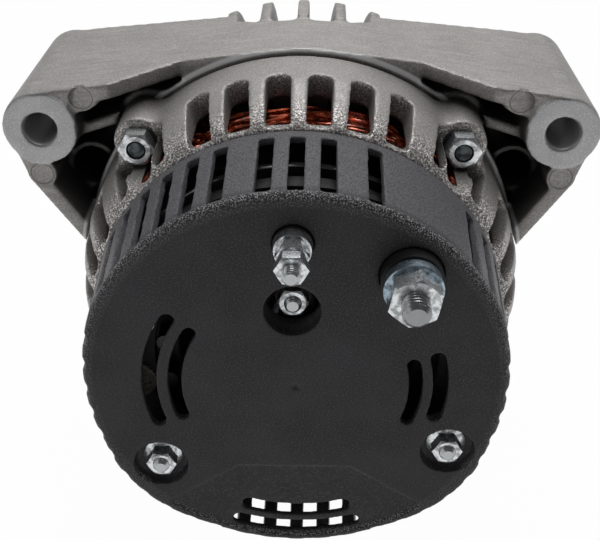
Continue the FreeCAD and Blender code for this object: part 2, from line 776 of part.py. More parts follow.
def ear_top_plate():
    """The ear's top wall: level with the barrel at one end and tangent to the boss at the other."""
    nx, nz = ear_direction()
    body = (DRIVE_R * nx, DRIVE_R * nz)
    boss = (EAR_X + EAR_BOSS_R * nx, EAR_HEIGHT + EAR_BOSS_R * nz)
    y0, y1 = EAR_Y0 + EAR_FACE_STEP, EAR_Y1 - EAR_FACE_STEP
    plate = slab(
        body,
        boss,
        (boss[0] - EAR_PLATE * nx, boss[1] - EAR_PLATE * nz),
        (body[0] - EAR_PLATE * nx, body[1] - EAR_PLATE * nz),
        y0=y0,
        y1=y1,
    )
    rear_cut = cutter_xy(
        (0, y0 - PAST), (EAR_REAR_TAPER_X, y0 - PAST), (EAR_REAR_TAPER_X, y0), (EAR_REAR_MERGE_X, DRIVE_Y0),
        (0, DRIVE_Y0),
    )
    front_y = EAR_Y1 - EAR_FRONT_SETBACK
    bend = EAR_FRONT_ROUND * (1 - math.sqrt(0.5))
    end_y = EAR_Y1 - EAR_PLATE_END
    front_cut = cutter_xy(
        (0, BARREL_Y1), (EAR_MERGE_START_X, BARREL_Y1), (EAR_MERGE_X, BARREL_Y1 + EAR_MERGE_AHEAD),
        (EAR_MERGE_X, front_y - EAR_FRONT_ROUND),
        ((EAR_MERGE_X + bend, front_y - bend), (EAR_MERGE_X + EAR_FRONT_ROUND, front_y)),
        (EAR_FRONT_TAPER_X, end_y), (EAR_X, end_y), (EAR_X, y1 + PAST), (0, y1 + PAST),
    )
    return plate.cut([rear_cut, front_cut])


def ear_strut():
    """The lower arm: from the outside of the boss down to the barrel, with its pad beside the boss."""
    angle = math.radians(STRUT_DEG)
    nx, nz = math.cos(angle), -math.sin(angle)
    dx, dz = -math.sin(angle), -math.cos(angle)
    offset = EAR_X * nx + EAR_HEIGHT * nz + EAR_BOSS_R + STRUT_STAND_OFF
    along_boss = EAR_X * dx + EAR_HEIGHT * dz
    along_body = STRUT_BITE - math.sqrt(abs(DRIVE_R ** 2 - offset ** 2))

    def at(along, off):
        return off * nx + along * dx, off * nz + along * dz

    corner_x, corner_z = polar(EAR_BOSS_R, STRUT_CORNER_DEG)
    y0, y1 = EAR_Y0 + EAR_FACE_STEP, EAR_Y1 - EAR_FRONT_WEB_SETBACK
    outer = slab(
        at(along_boss + EAR_BOSS_R, offset),
        at(along_body, offset),
        at(along_body, offset - STRUT_THICK),
        at(along_boss, offset - STRUT_THICK),
        (EAR_X + corner_x, EAR_HEIGHT + corner_z),
        y0=y0,
        y1=y1,
    )
    pad_x, pad_z = strut_pad()
    return outer.fuse(rod(PAD_R + PAD_WALL, y0, y1, pad_x, pad_z))


def strut_pad():
    return EAR_X + STRUT_PAD_X, EAR_HEIGHT - EAR_BOSS_R - PAD_R


def top_pad():
    return EAR_X - EAR_BOSS_R - TOP_PAD_X, EAR_HEIGHT + EAR_BOSS_R - TOP_PAD_DROP


def middle_rib():
    """The flat rib inside the ear, from under the boss toward the through-bolt lug."""
    lug_x, lug_z = polar(BOLT_PITCH_R, LUG_DEG)
    start = (EAR_X, EAR_HEIGHT - EAR_RIB_DROP)
    end = (lug_x + DRIVE_LUG_R / 2, lug_z + DRIVE_LUG_R / 3)
    length = math.hypot(end[0] - start[0], end[1] - start[1])
    side_x = (end[0] - start[0]) / length * EAR_RIB / 2
    side_z = (end[1] - start[1]) / length * EAR_RIB / 2
    return slab(
        (start[0] - side_z, start[1] + side_x), (end[0] - side_z, end[1] + side_x),
        (end[0] + side_z, end[1] - side_x), (start[0] + side_z, start[1] - side_x),
        y0=EAR_Y0 + EAR_RIB_SETBACK, y1=EAR_Y1 - EAR_FRONT_WEB_SETBACK,
    )


def pad_corner():
    """The thick corner under the top wall that carries the ejector pad."""
    pad_x, pad_z = top_pad()
    rim = PAD_R + PAD_WALL
    return slab(
        (pad_x - 2 * rim, pad_z + PAD_R), (pad_x - rim - PAD_R / 2, pad_z),
        ((pad_x - rim * math.sqrt(0.5), pad_z - rim * math.sqrt(0.5)), (pad_x, pad_z - rim)),
        (EAR_X - PAD_R, EAR_HEIGHT + PAD_R), (EAR_X, EAR_HEIGHT + EAR_BOSS_R - EAR_PLATE / 2),
        y0=EAR_Y0 + TOP_PAD_SETBACK, y1=EAR_Y1 - EAR_FRONT_WEB_SETBACK,
    )


def ring_rib():
    """The round rib between the strut and the barrel."""
    ring_x, ring_z = polar(DRIVE_R + EAR_RING_STAND_OFF, EAR_RING_DEG)
    ring = tube(
        EAR_RING_R + EAR_RING_WALL, EAR_RING_R, DRIVE_Y0 + EAR_RING_SETBACK, EAR_Y1 - EAR_FRONT_WEB_SETBACK,
        ring_x, ring_z,
    )
    return ring.cut(rod(BORE_R + DRIVE_WALL / 2, EAR_Y0, EAR_Y1 + PAST))


def ear_front_web():
    nx, nz = ear_direction()
    inside_r = BORE_R + DRIVE_WALL / 2
    low_deg, root_deg = WEB_ROOT_DEG
    web = slab(
        (DRIVE_R * nx, DRIVE_R * nz - PAST), (EAR_X + PAD_R / 2, EAR_HEIGHT + EAR_BOSS_R - EAR_PLATE / 2),
        (EAR_X + EAR_BOSS_R - EAR_PLATE, EAR_HEIGHT - EAR_BOSS_R), polar(DRIVE_R, low_deg),
        polar(inside_r, root_deg),
        y0=EAR_Y1 - EAR_FRONT_WEB_SETBACK - EAR_WEB, y1=EAR_Y1 - EAR_FRONT_WEB_SETBACK,
    )
    return web.cut([rod(inside_r, EAR_Y0, EAR_Y1), block(0, EAR_MERGE_X, 0, BIG, 0, BIG)])


def ear():
    boss = ear_boss()
    pieces = [ear_top_plate(), ear_strut(), ear_front_web(), middle_rib(), pad_corner(), ring_rib()]
    y0, y1 = EAR_Y0 - PAST, EAR_Y1 + PAST
    core = rod(EAR_BOSS_R - EAR_CHAMFER, y0, y1, EAR_X, EAR_HEIGHT)
    whole = fused([boss] + [p.cut(core) for p in pieces])
    lug_x, lug_z = polar(BOLT_PITCH_R, LUG_DEG)
    strut_x, strut_z = strut_pad()
    pad_x, pad_z = top_pad()
    room = [
        rod(REAR_R + RIM_CLEAR, y0, DRIVE_Y0),
        rod(LUG_R + RIM_CLEAR, y0, DRIVE_Y0, lug_x, lug_z),
        rod(PAD_R, y0, EAR_Y0 + EAR_FACE_STEP + PAD_DEPTH, strut_x, strut_z),
        rod(PAD_R, y0, EAR_Y0 + TOP_PAD_SETBACK + PAD_DEPTH, pad_x, pad_z),
    ]
    return whole.cut(room)


def ear_boss():
    """The round boss of the ear, with its through bore chamfered at both ends."""
    body = rod(EAR_BOSS_R, EAR_Y0, EAR_Y1, EAR_X, EAR_HEIGHT)
    bore = turned(
        (EAR_Y0 - PAST, 0), (EAR_Y0 - PAST, EAR_BORE_R + EAR_CHAMFER + PAST),
        (EAR_Y0 + EAR_CHAMFER, EAR_BORE_R), (EAR_Y1 - EAR_CHAMFER, EAR_BORE_R),
        (EAR_Y1 + PAST, EAR_BORE_R + EAR_CHAMFER + PAST), (EAR_Y1 + PAST, 0),
    )
    return body.cut(moved(bore, EAR_X, EAR_HEIGHT))


def drive_end_bracket():
    barrel = with_lugs(rod(DRIVE_R, DRIVE_Y0, BARREL_Y1), DRIVE_R, DRIVE_LUG_R, DRIVE_Y0, BARREL_Y1)
    ribs = []
    for g in range(VENT_GROUPS):
        first = g * 360 / VENT_GROUPS - (GRILLE_RIBS - 1) / 2 * GRILLE_PITCH
        for k in range(GRILLE_RIBS):
            ribs.append(spun(grille_rib(), first + k * GRILLE_PITCH))
    right = ear()
    whole = fused([barrel, front_wall(), right, mirrored(right)] + ribs)
    head_room = corner_radius(M6_FLATS) + RIM_CLEAR
    heads = [rod(head_room, BARREL_Y1, EAR_Y1 + PAST, *polar(BOLT_PITCH_R, a)) for a in lug_angles()]
    back_y = DRIVE_Y1 - FRONT_WALL
    hub_foot_r = FRONT_HUB_R + HUB_FOOT
    cavity = turned(
        (DRIVE_Y0 - PAST, 0), (DRIVE_Y0 - PAST, BORE_R), (STATOR_Y1, BORE_R), (STATOR_Y1, CHAMBER_R),
        (BARREL_Y1 + GRILLE_PROUD, CHAMBER_R),
        (back_y - GRILLE_INNER_CORNER - GRILLE_BITE, CHAMBER_R - GRILLE_BITE),
        (back_y, CHAMBER_R - GRILLE_BITE - GRILLE_INNER_DROP), (back_y, hub_foot_r), (HUB_Y0, hub_foot_r),
        (HUB_Y0, 0),
    )
    bores = [rod(FRONT_BEARING_R + THREAD_FIT, HUB_Y0 - PAST, FRONT_BEARING_Y1)]
    bores += [rod(SPACER_R + HUB_EYE_CLEAR, HUB_Y0 - PAST, HUB_Y1 + PAST)]
    bores += [
        rod(M4 + THREAD_FIT, HUB_Y0 - PAST, HUB_Y0 + RETAINER_GRIP + BOLT_CLEAR, *p)
        for p in retainer_screw_places()
    ]
    return whole.cut([cavity] + bores + heads + bolt_holes(DRIVE_Y0 - PAST, BARREL_Y1 + PAST))


# Rear cover


def cover_slot_angles():
    """The side slots go all round, except behind the output terminal."""
    angles = [0.0, COVER_SLOT_PITCH, -COVER_SLOT_PITCH]
    for first, count in ((SIDE_SLOT_FIRST, SIDE_SLOTS), (BOTTOM_SLOT_FIRST, BOTTOM_SLOTS)):
        for k in range(count):
            angles += [first + COVER_SLOT_PITCH * k, -first - COVER_SLOT_PITCH * k]
    return [a for a in angles if not BLIND_FROM < a < BLIND_TO]


def face_slots():
    """The arc vents in the cover's face."""
    cuts = []
    for radius, width, first, last in LEFT_ARC_VENTS + RIGHT_ARC_VENTS + BOTTOM_ARC_VENTS:
        cuts.append(arc_slot(radius, width, first, last, -PAST, COVER_FACE + PAST))
    return cuts


def side_slots():
    """The long slots in the cover's side, and the shallow grooves that run from them over the bottom rim."""
    half = COVER_SLOT_WIDTH / 2
    top = COVER_OPEN_R + PAST
    slot = block(-half, half, COVER_SLOT_START, COVER_SLOT_END, COVER_R - COVER_WALL - PAST, top)
    groove = block(-half, half, RIM_GROOVE_START, COVER_SLOT_START + PAST, COVER_R - RIM_GROOVE_DEPTH, top)
    cuts = [spun(slot, a) for a in cover_slot_angles()]
    cuts += [spun(groove, a) for a in cover_slot_angles() if abs(a) > RIM_GROOVE_FROM]
    return cuts


def facet():
    """The slightly lower field at the bottom of the cover's face."""
    left_x, right_x = FACET_TOP_X
    field = slab(
        (-FACET_SIDE_X, FACET_SIDE_Z), (left_x, FACET_TOP_Z), (right_x, FACET_TOP_Z),
        (FACET_SIDE_X, FACET_SIDE_Z), (FACET_SIDE_X, FACET_BOTTOM_Z), (-FACET_SIDE_X, FACET_BOTTOM_Z),
        y0=-PAST, y1=FACET_DEPTH,
    )
    return field.common(rod(COVER_R - COVER_RIM - FACET_TO_RIM, -PAST, FACET_DEPTH + PAST))


def rear_cover():
    bend = COVER_RIM * (1 - math.sqrt(0.5))
    inner_bend = COVER_INNER_RIM * (1 - math.sqrt(0.5))
    inner_r = COVER_R - COVER_WALL
    shell = turned(
        (0, 0), (0, COVER_R - COVER_RIM), ((bend, COVER_R - bend), (COVER_RIM, COVER_R)),
        (SEAM_Y, COVER_OPEN_R), (SEAM_Y, COVER_OPEN_R - COVER_WALL), (COVER_FACE + COVER_INNER_RIM, inner_r),
        ((COVER_FACE + inner_bend, inner_r - inner_bend), (COVER_FACE, inner_r - COVER_INNER_RIM)),
        (COVER_FACE, 0),
    )
    shell = shell.cut(side_slots() + face_slots() + [facet(), rod(DIMPLE_R, -PAST, DIMPLE_DEPTH)])
    cups = []
    holes = []
    pocket_y = NUT_POCKET_DEPTH + COVER_FACE
    for x, z in COVER_STUD_XZ:
        cups.append(rod(NUT_POCKET_R + POCKET_WALL, POCKET_START, pocket_y, x, z))
        holes.append(rod(NUT_POCKET_R, -PAST, NUT_POCKET_DEPTH, x, z))
        holes.append(rod(M5 + BOLT_CLEAR, 0, pocket_y + PAST, x, z))
    cups.append(rod(W_POCKET_R + POCKET_WALL, POCKET_START, W_POCKET_DEPTH, *W_XZ))
    holes.append(rod(W_POCKET_R, -PAST, W_POCKET_DEPTH + PAST, *W_XZ))
    holes.append(rod(D_PLUS_BUSH_R + TERMINAL_HOLE_CLEAR, -PAST, COVER_FACE + PAST, *D_PLUS_XZ))
    holes.append(rod(B_PLUS_BUSH_R + TERMINAL_HOLE_CLEAR, -PAST, COVER_FACE + PAST, *B_PLUS_XZ))
    inside = turned((0, 0), (0, COVER_R - PAST), (SEAM_Y, COVER_OPEN_R - PAST), (SEAM_Y, 0))
    cups = [cup.common(inside) for cup in cups]
    return fused([shell] + cups).cut(holes)


# Stator


def stator_slot(half_width, r_in, r_out, y0, y1):
    return block(-half_width, half_width, y0, y1, r_in, r_out)


def stator_core():
    core = tube(STATOR_R, STATOR_BORE_R, STATOR_Y0, STATOR_Y1)
    y0, y1 = STATOR_Y0 - PAST, STATOR_Y1 + PAST
    slot = stator_slot(SLOT_WIDTH / 2, SLOT_INNER_R, SLOT_OUTER_R, y0, y1)
    slot = slot.fuse(stator_slot(SLOT_MOUTH / 2, STATOR_BORE_R - PAST, SLOT_INNER_R + PAST, y0, y1))
    return core.cut([spun(slot, k * 360 / SLOT_COUNT) for k in range(SLOT_COUNT)])


def slot_liners():
    """Folded paper in each slot, open toward the bore."""
    y0, y1 = STATOR_Y0 - LINER_STAND_OUT, STATOR_Y1 + LINER_STAND_OUT
    half = SLOT_WIDTH / 2 - LINER_PLAY
    top = SLOT_OUTER_R - LINER_PLAY
    outside = stator_slot(half, SLOT_INNER_R + LINER_THICK / 2, top, y0, y1)
    inside = stator_slot(half - LINER_THICK, SLOT_INNER_R - PAST, top - LINER_THICK, y0 - PAST, y1 + PAST)
    liner = outside.cut(inside)
    return group([spun(liner, k * 360 / SLOT_COUNT) for k in range(SLOT_COUNT)])


def overhang(y_root, y_tip):
    """A wound end ring with rounded corners."""
    sign = 1 if y_tip > y_root else -1
    soft = WINDING_SOFT
    bend = soft * (1 - math.sqrt(0.5))
    r_in, r_out = WINDING_INNER_R, WINDING_OUTER_R
    root = y_root + sign * (LINER_STAND_OUT + LINER_THICK)
    return turned(
        (root, r_in), (y_tip - sign * soft, r_in), ((y_tip - sign * bend, r_in + bend), (y_tip, r_in + soft)),
        (y_tip, r_out - soft), ((y_tip - sign * bend, r_out - bend), (y_tip - sign * soft, r_out)),
        (root, r_out),
    )


def stator_windings():
    half = SLOT_WIDTH / 2 - LINER_THICK - WIRE_TO_LINER
    into_ring = 2 * LINER_STAND_OUT
    bar = stator_slot(
        half, WINDING_INNER_R, SLOT_OUTER_R - LINER_THICK - 2 * WIRE_TO_LINER, STATOR_Y0 - into_ring,
        STATOR_Y1 + into_ring,
    )
    bars = [spun(bar, k * 360 / SLOT_COUNT) for k in range(SLOT_COUNT)]
    rear_tip = STATOR_Y0 - WINDING_REAR
    leads = [
        rod(PHASE_LEAD_R, BOARD_Y + BOARD_THICK, rear_tip + WINDING_SOFT, *polar(PHASE_LEAD_PITCH_R, a))
        for a in PHASE_LEAD_DEG
    ]
    rings = [overhang(STATOR_Y0, rear_tip), overhang(STATOR_Y1, STATOR_Y1 + WINDING_FRONT)]
    return fused(rings + bars + leads)


# Rotor


def claw_finger(tip_y, root_y):
    """A tapering claw between its root section and its tip section."""

    def section(y, half_deg, r_in):
        reach = ROTOR_R + CLAW_SPARE
        corners = [polar_point(r_in, -half_deg, y), polar_point(reach, -half_deg, y),
                   polar_point(reach, half_deg, y), polar_point(r_in, half_deg, y)]
        return Part.makePolygon([point(*c) for c in corners + corners[:1]])

    loft = Part.makeLoft(
        [section(root_y, CLAW_ROOT_HALF_DEG, CLAW_ROOT_R), section(tip_y, CLAW_TIP_HALF_DEG, CLAW_TIP_R)],
        True, True,
    )
    return upright(loft)


def claw_pole(front):
    """One half of the rotor: hub, star plate and six claws that reach over the field coil."""
    sign = 1 if front else -1
    outer_y = ROTOR_Y1 if front else ROTOR_Y0
    inner_y = outer_y - sign * CLAW_PLATE
    tip_y = ROTOR_Y0 + CLAW_TIP_SETBACK if front else ROTOR_Y1 - CLAW_TIP_SETBACK
    y0, y1 = sorted((outer_y, inner_y))
    core_y0, core_y1 = sorted((ROTOR_MID, inner_y + sign * PAST))
    spare_r = ROTOR_R + CLAW_SPARE
    bite_r = CLAW_VALLEY_R - CLAW_SPARE
    arm = slab(
        polar(spare_r, -CLAW_ROOT_HALF_DEG), polar(spare_r, CLAW_ROOT_HALF_DEG),
        polar(bite_r, CLAW_ROOT_HALF_DEG), polar(bite_r, -CLAW_ROOT_HALF_DEG), y0=y0, y1=y1,
    )
    finger = arm.fuse(claw_finger(tip_y, inner_y))
    turn = 0 if front else 180 / CLAW_COUNT
    pieces = [rod(CLAW_VALLEY_R, y0, y1), rod(CORE_R, core_y0, core_y1)]
    pieces += [spun(finger, turn + k * 360 / CLAW_COUNT) for k in range(CLAW_COUNT)]
    envelope = turned(
        (outer_y, 0), (outer_y, ROTOR_R - CLAW_CHAMFER), (outer_y - sign * CLAW_CHAMFER, ROTOR_R),
        (tip_y, ROTOR_R), (tip_y, 0),
    )
    bore = rod(SHAFT_R + THREAD_FIT, ROTOR_Y0 - PAST, ROTOR_Y1 + PAST)
    return fused(pieces).common(envelope).cut(bore)


def field_bobbin():
    y0, y1 = ROTOR_Y0 + CLAW_PLATE + BOBBIN_PLAY, ROTOR_Y1 - CLAW_PLATE - BOBBIN_PLAY
    inner = CORE_R + BOBBIN_PLAY
    rim = COIL_R + BOBBIN_FLANGE
    return turned(
        (y0, inner), (y0, rim), (y0 + BOBBIN_WALL, rim), (y0 + BOBBIN_WALL, inner + BOBBIN_WALL),
        (y1 - BOBBIN_WALL, inner + BOBBIN_WALL), (y1 - BOBBIN_WALL, rim), (y1, rim), (y1, inner),
    )


def field_coil():
    side = BOBBIN_WALL + COIL_PLAY
    y0, y1 = ROTOR_Y0 + CLAW_PLATE + side, ROTOR_Y1 - CLAW_PLATE - side
    return tube(COIL_R, CORE_R + side, y0, y1)


def fan(face_y, direction, blades):
    """A pressed fan: a plate welded to the claws, notched at its rim, with curved blades bent from it."""
    y0, y1 = sorted((face_y, face_y + direction * FAN_PLATE))
    plate = tube(FAN_R, SHAFT_R + FAN_EYE_CLEAR, y0, y1)
    tip = face_y + direction * (FAN_PLATE + FAN_HEIGHT)
    b0, b1 = sorted((face_y + direction * FAN_PLATE / 2, tip))
    blade = sector(FAN_BLADE_CURVE - FAN_BLADE, FAN_BLADE_CURVE, b0, b1, *FAN_BLADE_DEG)
    blade = moved(blade, FAN_BLADE_CURVE - FAN_BLADE / 2, (FAN_BLADE_INNER_R + FAN_R) / 2 + FAN_BLADE)
    step = 360 / blades
    notch_r = FAN_R + FAN_BLADE
    notches = [
        rod(FAN_NOTCH_R, y0 - PAST, y1 + PAST, *polar(notch_r, (k + FAN_NOTCH_SHIFT) * step))
        for k in range(blades)
    ]
    blade = blade.common(tube(FAN_R, FAN_BLADE_INNER_R, b0 - PAST, b1 + PAST))
    return fused([plate.cut(notches)] + [spun(blade, k * step) for k in range(blades)])


def rotor_shaft():
    """The stepped shaft: slip-ring seat, rear journal, knurled middle, front journal and threaded end."""
    rear_step = REAR_BEARING_Y1 + SHAFT_STEP_CLEAR
    front_step = ROTOR_Y1 + FAN_PLATE
    body = turned(
        (SHAFT_REAR, 0), (SHAFT_REAR, SLIP_SEAT_R - SHAFT_CHAMFER), (SHAFT_REAR + SHAFT_CHAMFER, SLIP_SEAT_R),
        (SLIP_END_Y, SLIP_SEAT_R), (SLIP_END_Y, JOURNAL_R), (rear_step, JOURNAL_R), (rear_step, SHAFT_R),
        (front_step, SHAFT_R), (front_step, JOURNAL_R), (PULLEY_SEAT_Y, JOURNAL_R),
        (PULLEY_SEAT_Y, M16), (SHAFT_Y1 - M16_CHAMFER, M16), (SHAFT_Y1, M16 - M16_CHAMFER), (SHAFT_Y1, 0),
    )
    return body.cut(hexagon(SOCKET_FLATS, SHAFT_Y1 - SOCKET_DEPTH, SHAFT_Y1 + PAST))


def slip_ring_places():
    first = RING_START
    second = first + RING_WIDTH + RING_GAP
    return ((first, first + RING_WIDTH), (second, second + RING_WIDTH))


def slip_ring_hub():
    (a0, a1), (b0, b1) = slip_ring_places()
    hub = tube(
        RING_R - RING_STAND_OUT, SLIP_SEAT_R + THREAD_FIT,
        SHAFT_REAR + SHAFT_CHAMFER, SLIP_END_Y - SHAFT_STEP_CLEAR,
    )
    inner = RING_BORE_R - THREAD_FIT
    first = tube(RING_R, inner, a0 - THREAD_FIT, a1 + THREAD_FIT)
    second = tube(RING_R, inner, b0 - THREAD_FIT, b1 + THREAD_FIT)
    return hub.cut([first, second])


def slip_rings():
    return group([tube(RING_R, RING_BORE_R, y0, y1) for y0, y1 in slip_ring_places()])


# Bearings


def race(r_in, r_out, y0, y1, pitch_r, ball_r):
    """A bearing ring with its ball groove."""
    groove = Part.makeTorus(pitch_r, ball_r + BALL_CLEAR, point(0, (y0 + y1) / 2, 0), ALONG)
    return tube(r_out, r_in, y0, y1).cut(groove)


def outer_race(bearing_r, y0, y1, pitch_r, ball_r):
    return race(pitch_r + ball_r * RACE_SHOULDER, bearing_r, y0, y1, pitch_r, ball_r)


def inner_race(y0, y1, pitch_r, ball_r):
    return race(JOURNAL_R + THREAD_FIT, pitch_r - ball_r * RACE_SHOULDER, y0, y1, pitch_r, ball_r)


def shields(y0, y1, pitch_r, ball_r):
    """Two thin rings clipped in the outer race, clear of the inner one."""
    r_out = pitch_r + ball_r * RACE_SHOULDER - SHIELD_FIT
    r_in = pitch_r - ball_r * RACE_SHOULDER + SHIELD_CLEAR
    first = tube(r_out, r_in, y0 + SHIELD_INSET, y0 + SHIELD_INSET + SHIELD_THICK)
    second = tube(r_out, r_in, y1 - SHIELD_INSET - SHIELD_THICK, y1 - SHIELD_INSET)
    return group([first, second])


def balls(count, pitch_r, ball_r, mid):
    solids = []
    for k in range(count):
        x, z = polar(pitch_r, k * 360 / count)
        solids.append(Part.makeSphere(ball_r, point(x, mid, z)))
    return group(solids)


def cage(count, pitch_r, ball_r, mid):
    """A crown cage: its pockets open on one side, so that it snaps over the balls."""
    crown = tube(
        pitch_r + CAGE_HALF_WALL, pitch_r - CAGE_HALF_WALL, mid - ball_r * CAGE_HORN, mid + ball_r + CAGE_BACK
    )
    pocket = Part.makeCylinder(ball_r + BALL_CLEAR, ball_r * 2, point(0, mid, pitch_r - ball_r), UP)
    return crown.cut([spun(pocket, k * 360 / count) for k in range(count)])


def retainer_screw_places():
    pitch = FRONT_BEARING_R + M4 + RETAINER_SCREW_EDGE
    return [polar(pitch, RETAINER_DEG + k * 360 / RETAINER_SCREWS) for k in range(RETAINER_SCREWS)]


def bearing_retainer():
    y0, y1 = HUB_Y0 - RETAINER_THICK, HUB_Y0
    plate = tube(RETAINER_R, FRONT_RACE_R + RETAINER_BORE_OVER, y0, y1)
    return plate.cut([rod(M4 + BOLT_CLEAR, y0 - PAST, y1 + PAST, x, z) for x, z in retainer_screw_places()])


def screw(place, seat_y, end_y):
    """An M4 pan-head screw entering toward +Y."""
    body = rod(M4, seat_y - M4_HEAD / 2, end_y, *place)
    cap = turned(
        (seat_y - M4_HEAD, 0), (seat_y - M4_HEAD, M4_HEAD_R * M4_HEAD_TOP),
        (seat_y - M4_HEAD * M4_HEAD_SIDE, M4_HEAD_R), (seat_y, M4_HEAD_R), (seat_y, 0),
    )
    return fused([body, moved(cap, *place)])


def retainer_screws():
    seat = HUB_Y0 - RETAINER_THICK
    return group([screw(place, seat, HUB_Y0 + RETAINER_GRIP) for place in retainer_screw_places()])


# Pulley end


def pulley():
    """A ribbed-belt pulley: the rim overhangs a web, and the nut sits in its recess."""
    y = PULLEY_Y0
    edge_r = PULLEY_FLANGE_R - PULLEY_CHAMFER
    root_r = PULLEY_R - PULLEY_GROOVE_DEPTH
    bore = JOURNAL_R + THREAD_FIT
    outline = [(y, edge_r), (y + PULLEY_CHAMFER, PULLEY_FLANGE_R), (y + PULLEY_FLANGE, PULLEY_FLANGE_R)]
    first = y + PULLEY_FLANGE
    for k in range(PULLEY_GROOVES):
        start = first + k * PULLEY_PITCH
        middle = start + PULLEY_PITCH / 2
        outline += [
            (start, PULLEY_R), (start + PULLEY_CREST / 2, PULLEY_R), (middle - PULLEY_ROOT / 2, root_r),
            (middle + PULLEY_ROOT / 2, root_r), (start + PULLEY_PITCH - PULLEY_CREST / 2, PULLEY_R),
        ]
    last = first + PULLEY_GROOVES * PULLEY_PITCH
    rim_in = root_r - PULLEY_RIM
    outline += [
        (last, PULLEY_R), (last, PULLEY_FLANGE_R), (PULLEY_Y1 - PULLEY_CHAMFER, PULLEY_FLANGE_R),
        (PULLEY_Y1, edge_r),
        (PULLEY_Y1, rim_in + PULLEY_CHAMFER), (PULLEY_Y1 - PULLEY_CHAMFER, rim_in),
        (PULLEY_SEAT_Y + PULLEY_RECESS_ROUND, rim_in), (PULLEY_SEAT_Y, rim_in - PULLEY_RECESS_ROUND),
        (PULLEY_SEAT_Y, bore),
    ]
    return turned((y, bore), *outline)


def pulley_nut():
    """A hexagon nut with its own flange, down on the pulley's web."""
    flange_y = NUT_Y0 + PULLEY_NUT_FLANGE
    flange = turned(
        (NUT_Y0, 0), (NUT_Y0, PULLEY_NUT_FLANGE_R), (NUT_Y0 + PULLEY_NUT_FLANGE / 3, PULLEY_NUT_FLANGE_R),
        (flange_y, M16_FLATS / 2), (flange_y, 0),
    )
    nut_y = NUT_Y0 + M16_NUT
    body = hexagon(M16_FLATS, NUT_Y0 + PULLEY_NUT_FLANGE / 6, nut_y, chamfer=M16_CHAMFER)
    return fused([flange, body]).cut(rod(M16 + THREAD_FIT, NUT_Y0 - PAST, nut_y + PAST))


# Brush gear


def brush(place):
    mid = (place[0] + place[1]) / 2
    bottom = RING_R * BRUSH_WRAP
    top = RING_R + BRUSH_TO_RING + BRUSH_TALL
    body = block(-BRUSH_WIDE / 2, BRUSH_WIDE / 2, mid - BRUSH_DEEP / 2, mid + BRUSH_DEEP / 2, bottom, top)
    return body.cut(rod(RING_R + BRUSH_TO_RING, mid - RING_WIDTH, mid + RING_WIDTH))


def brush_spring(place):
    """A square-wire coil between the brush and the holder's roof."""
    mid = (place[0] + place[1]) / 2
    bottom = RING_R + BRUSH_TO_RING + BRUSH_TALL + SPRING_END_GAP + SPRING_WIRE / 2
    height = SPRING_ROOM - 2 * SPRING_END_GAP - SPRING_WIRE
    helix = Part.makeHelix(height / SPRING_TURNS, height, SPRING_R)
    half = SPRING_WIRE / 2
    corners = [(-half, -half), (half, -half), (half, half), (-half, half), (-half, -half)]
    section = Part.makePolygon([point(SPRING_R + a, 0, b) for a, b in corners])
    coil = Part.Wire(helix.Edges).makePipeShell([section], True, True)
    return moved(upright(Part.Solid(coil) if coil.ShapeType == "Shell" else coil), 0, bottom, mid)


def holder_rear_y():
    first = slip_ring_places()[0]
    return (first[0] + first[1]) / 2 - BRUSH_DEEP / 2 - BRUSH_CLEAR - HOLDER_WALL


def brush_holder():
    """The moulded holder: two brush channels, a fixing flange and the terminal boss behind the cover."""
    half_x = BRUSH_WIDE / 2 + BRUSH_CLEAR + HOLDER_WALL
    y0 = holder_rear_y()
    y1 = HOLDER_FLANGE_Y1
    bottom = RING_R + HOLDER_TO_RING
    body = block(-half_x, half_x, y0, y1, bottom, HOLDER_TOP_Z + HOLDER_ROOF)
    flange = block(-FLANGE_HALF_X, FLANGE_HALF_X, y1 - FLANGE_THICK, y1, *FLANGE_Z)
    edges = [e for e in flange.Edges if abs(e.tangentAt(e.FirstParameter).y) > 0.9]
    flange = flange.makeFillet(FLANGE_CORNER, edges)
    boss = rod(W_BOSS_R, W_NUT_FACE + M5_NUT, y0 + PAST, *W_XZ)
    whole = fused([body, flange, boss])
    cuts = [rod(M4 + BOLT_CLEAR, y1 - FLANGE_THICK - PAST, y1 + PAST, x, z) for x, z in FLANGE_SCREW_XZ]
    half_wide = BRUSH_WIDE / 2 + BRUSH_CLEAR
    half_deep = BRUSH_DEEP / 2 + BRUSH_CLEAR
    for place in slip_ring_places():
        mid = (place[0] + place[1]) / 2
        y0, y1 = mid - half_deep, mid + half_deep
        cuts.append(block(-half_wide, half_wide, y0, y1, bottom - PAST, HOLDER_TOP_Z))
    cuts.append(rod(M5 + THREAD_FIT, W_NUT_FACE, y0 + PAST, *W_XZ))
    cuts.append(rod(RING_R + HOLDER_TO_RING, y0 - PAST, y1 + PAST))
    return whole.cut(cuts)


def regulator():
    """The potted voltage regulator with cooling fins, beside the brush holder."""
    x0, x1 = REGULATOR_X
    z0, z1 = REGULATOR_Z
    y1 = HOLDER_FLANGE_Y1 - FLANGE_THICK
    body = block(x0, x1, REGULATOR_REAR + FIN_HEIGHT, y1, z0, z1)
    edges = [e for e in body.Edges if abs(e.tangentAt(e.FirstParameter).y) > 0.9]
    body = body.makeFillet(REGULATOR_CORNER, edges)
    fins = []
    for k in range(FINS):
        left = x0 + REGULATOR_EDGE + FIN_PITCH * k
        fins.append(
            block(left, left + FIN_PITCH / 2, REGULATOR_REAR, REGULATOR_REAR + FIN_HEIGHT + PAST, z0 + REGULATOR_EDGE,
                  z1 - REGULATOR_EDGE)
        )
    arm_x0, arm_x1 = x0 + REGULATOR_EDGE, x1 - REGULATOR_CORNER * 2
    arm = block(arm_x0, arm_x1, y1 - REGULATOR_ARM, y1, z1 - PAST, FLANGE_Z[0])
    return fused([body, arm] + fins)


# Rectifier


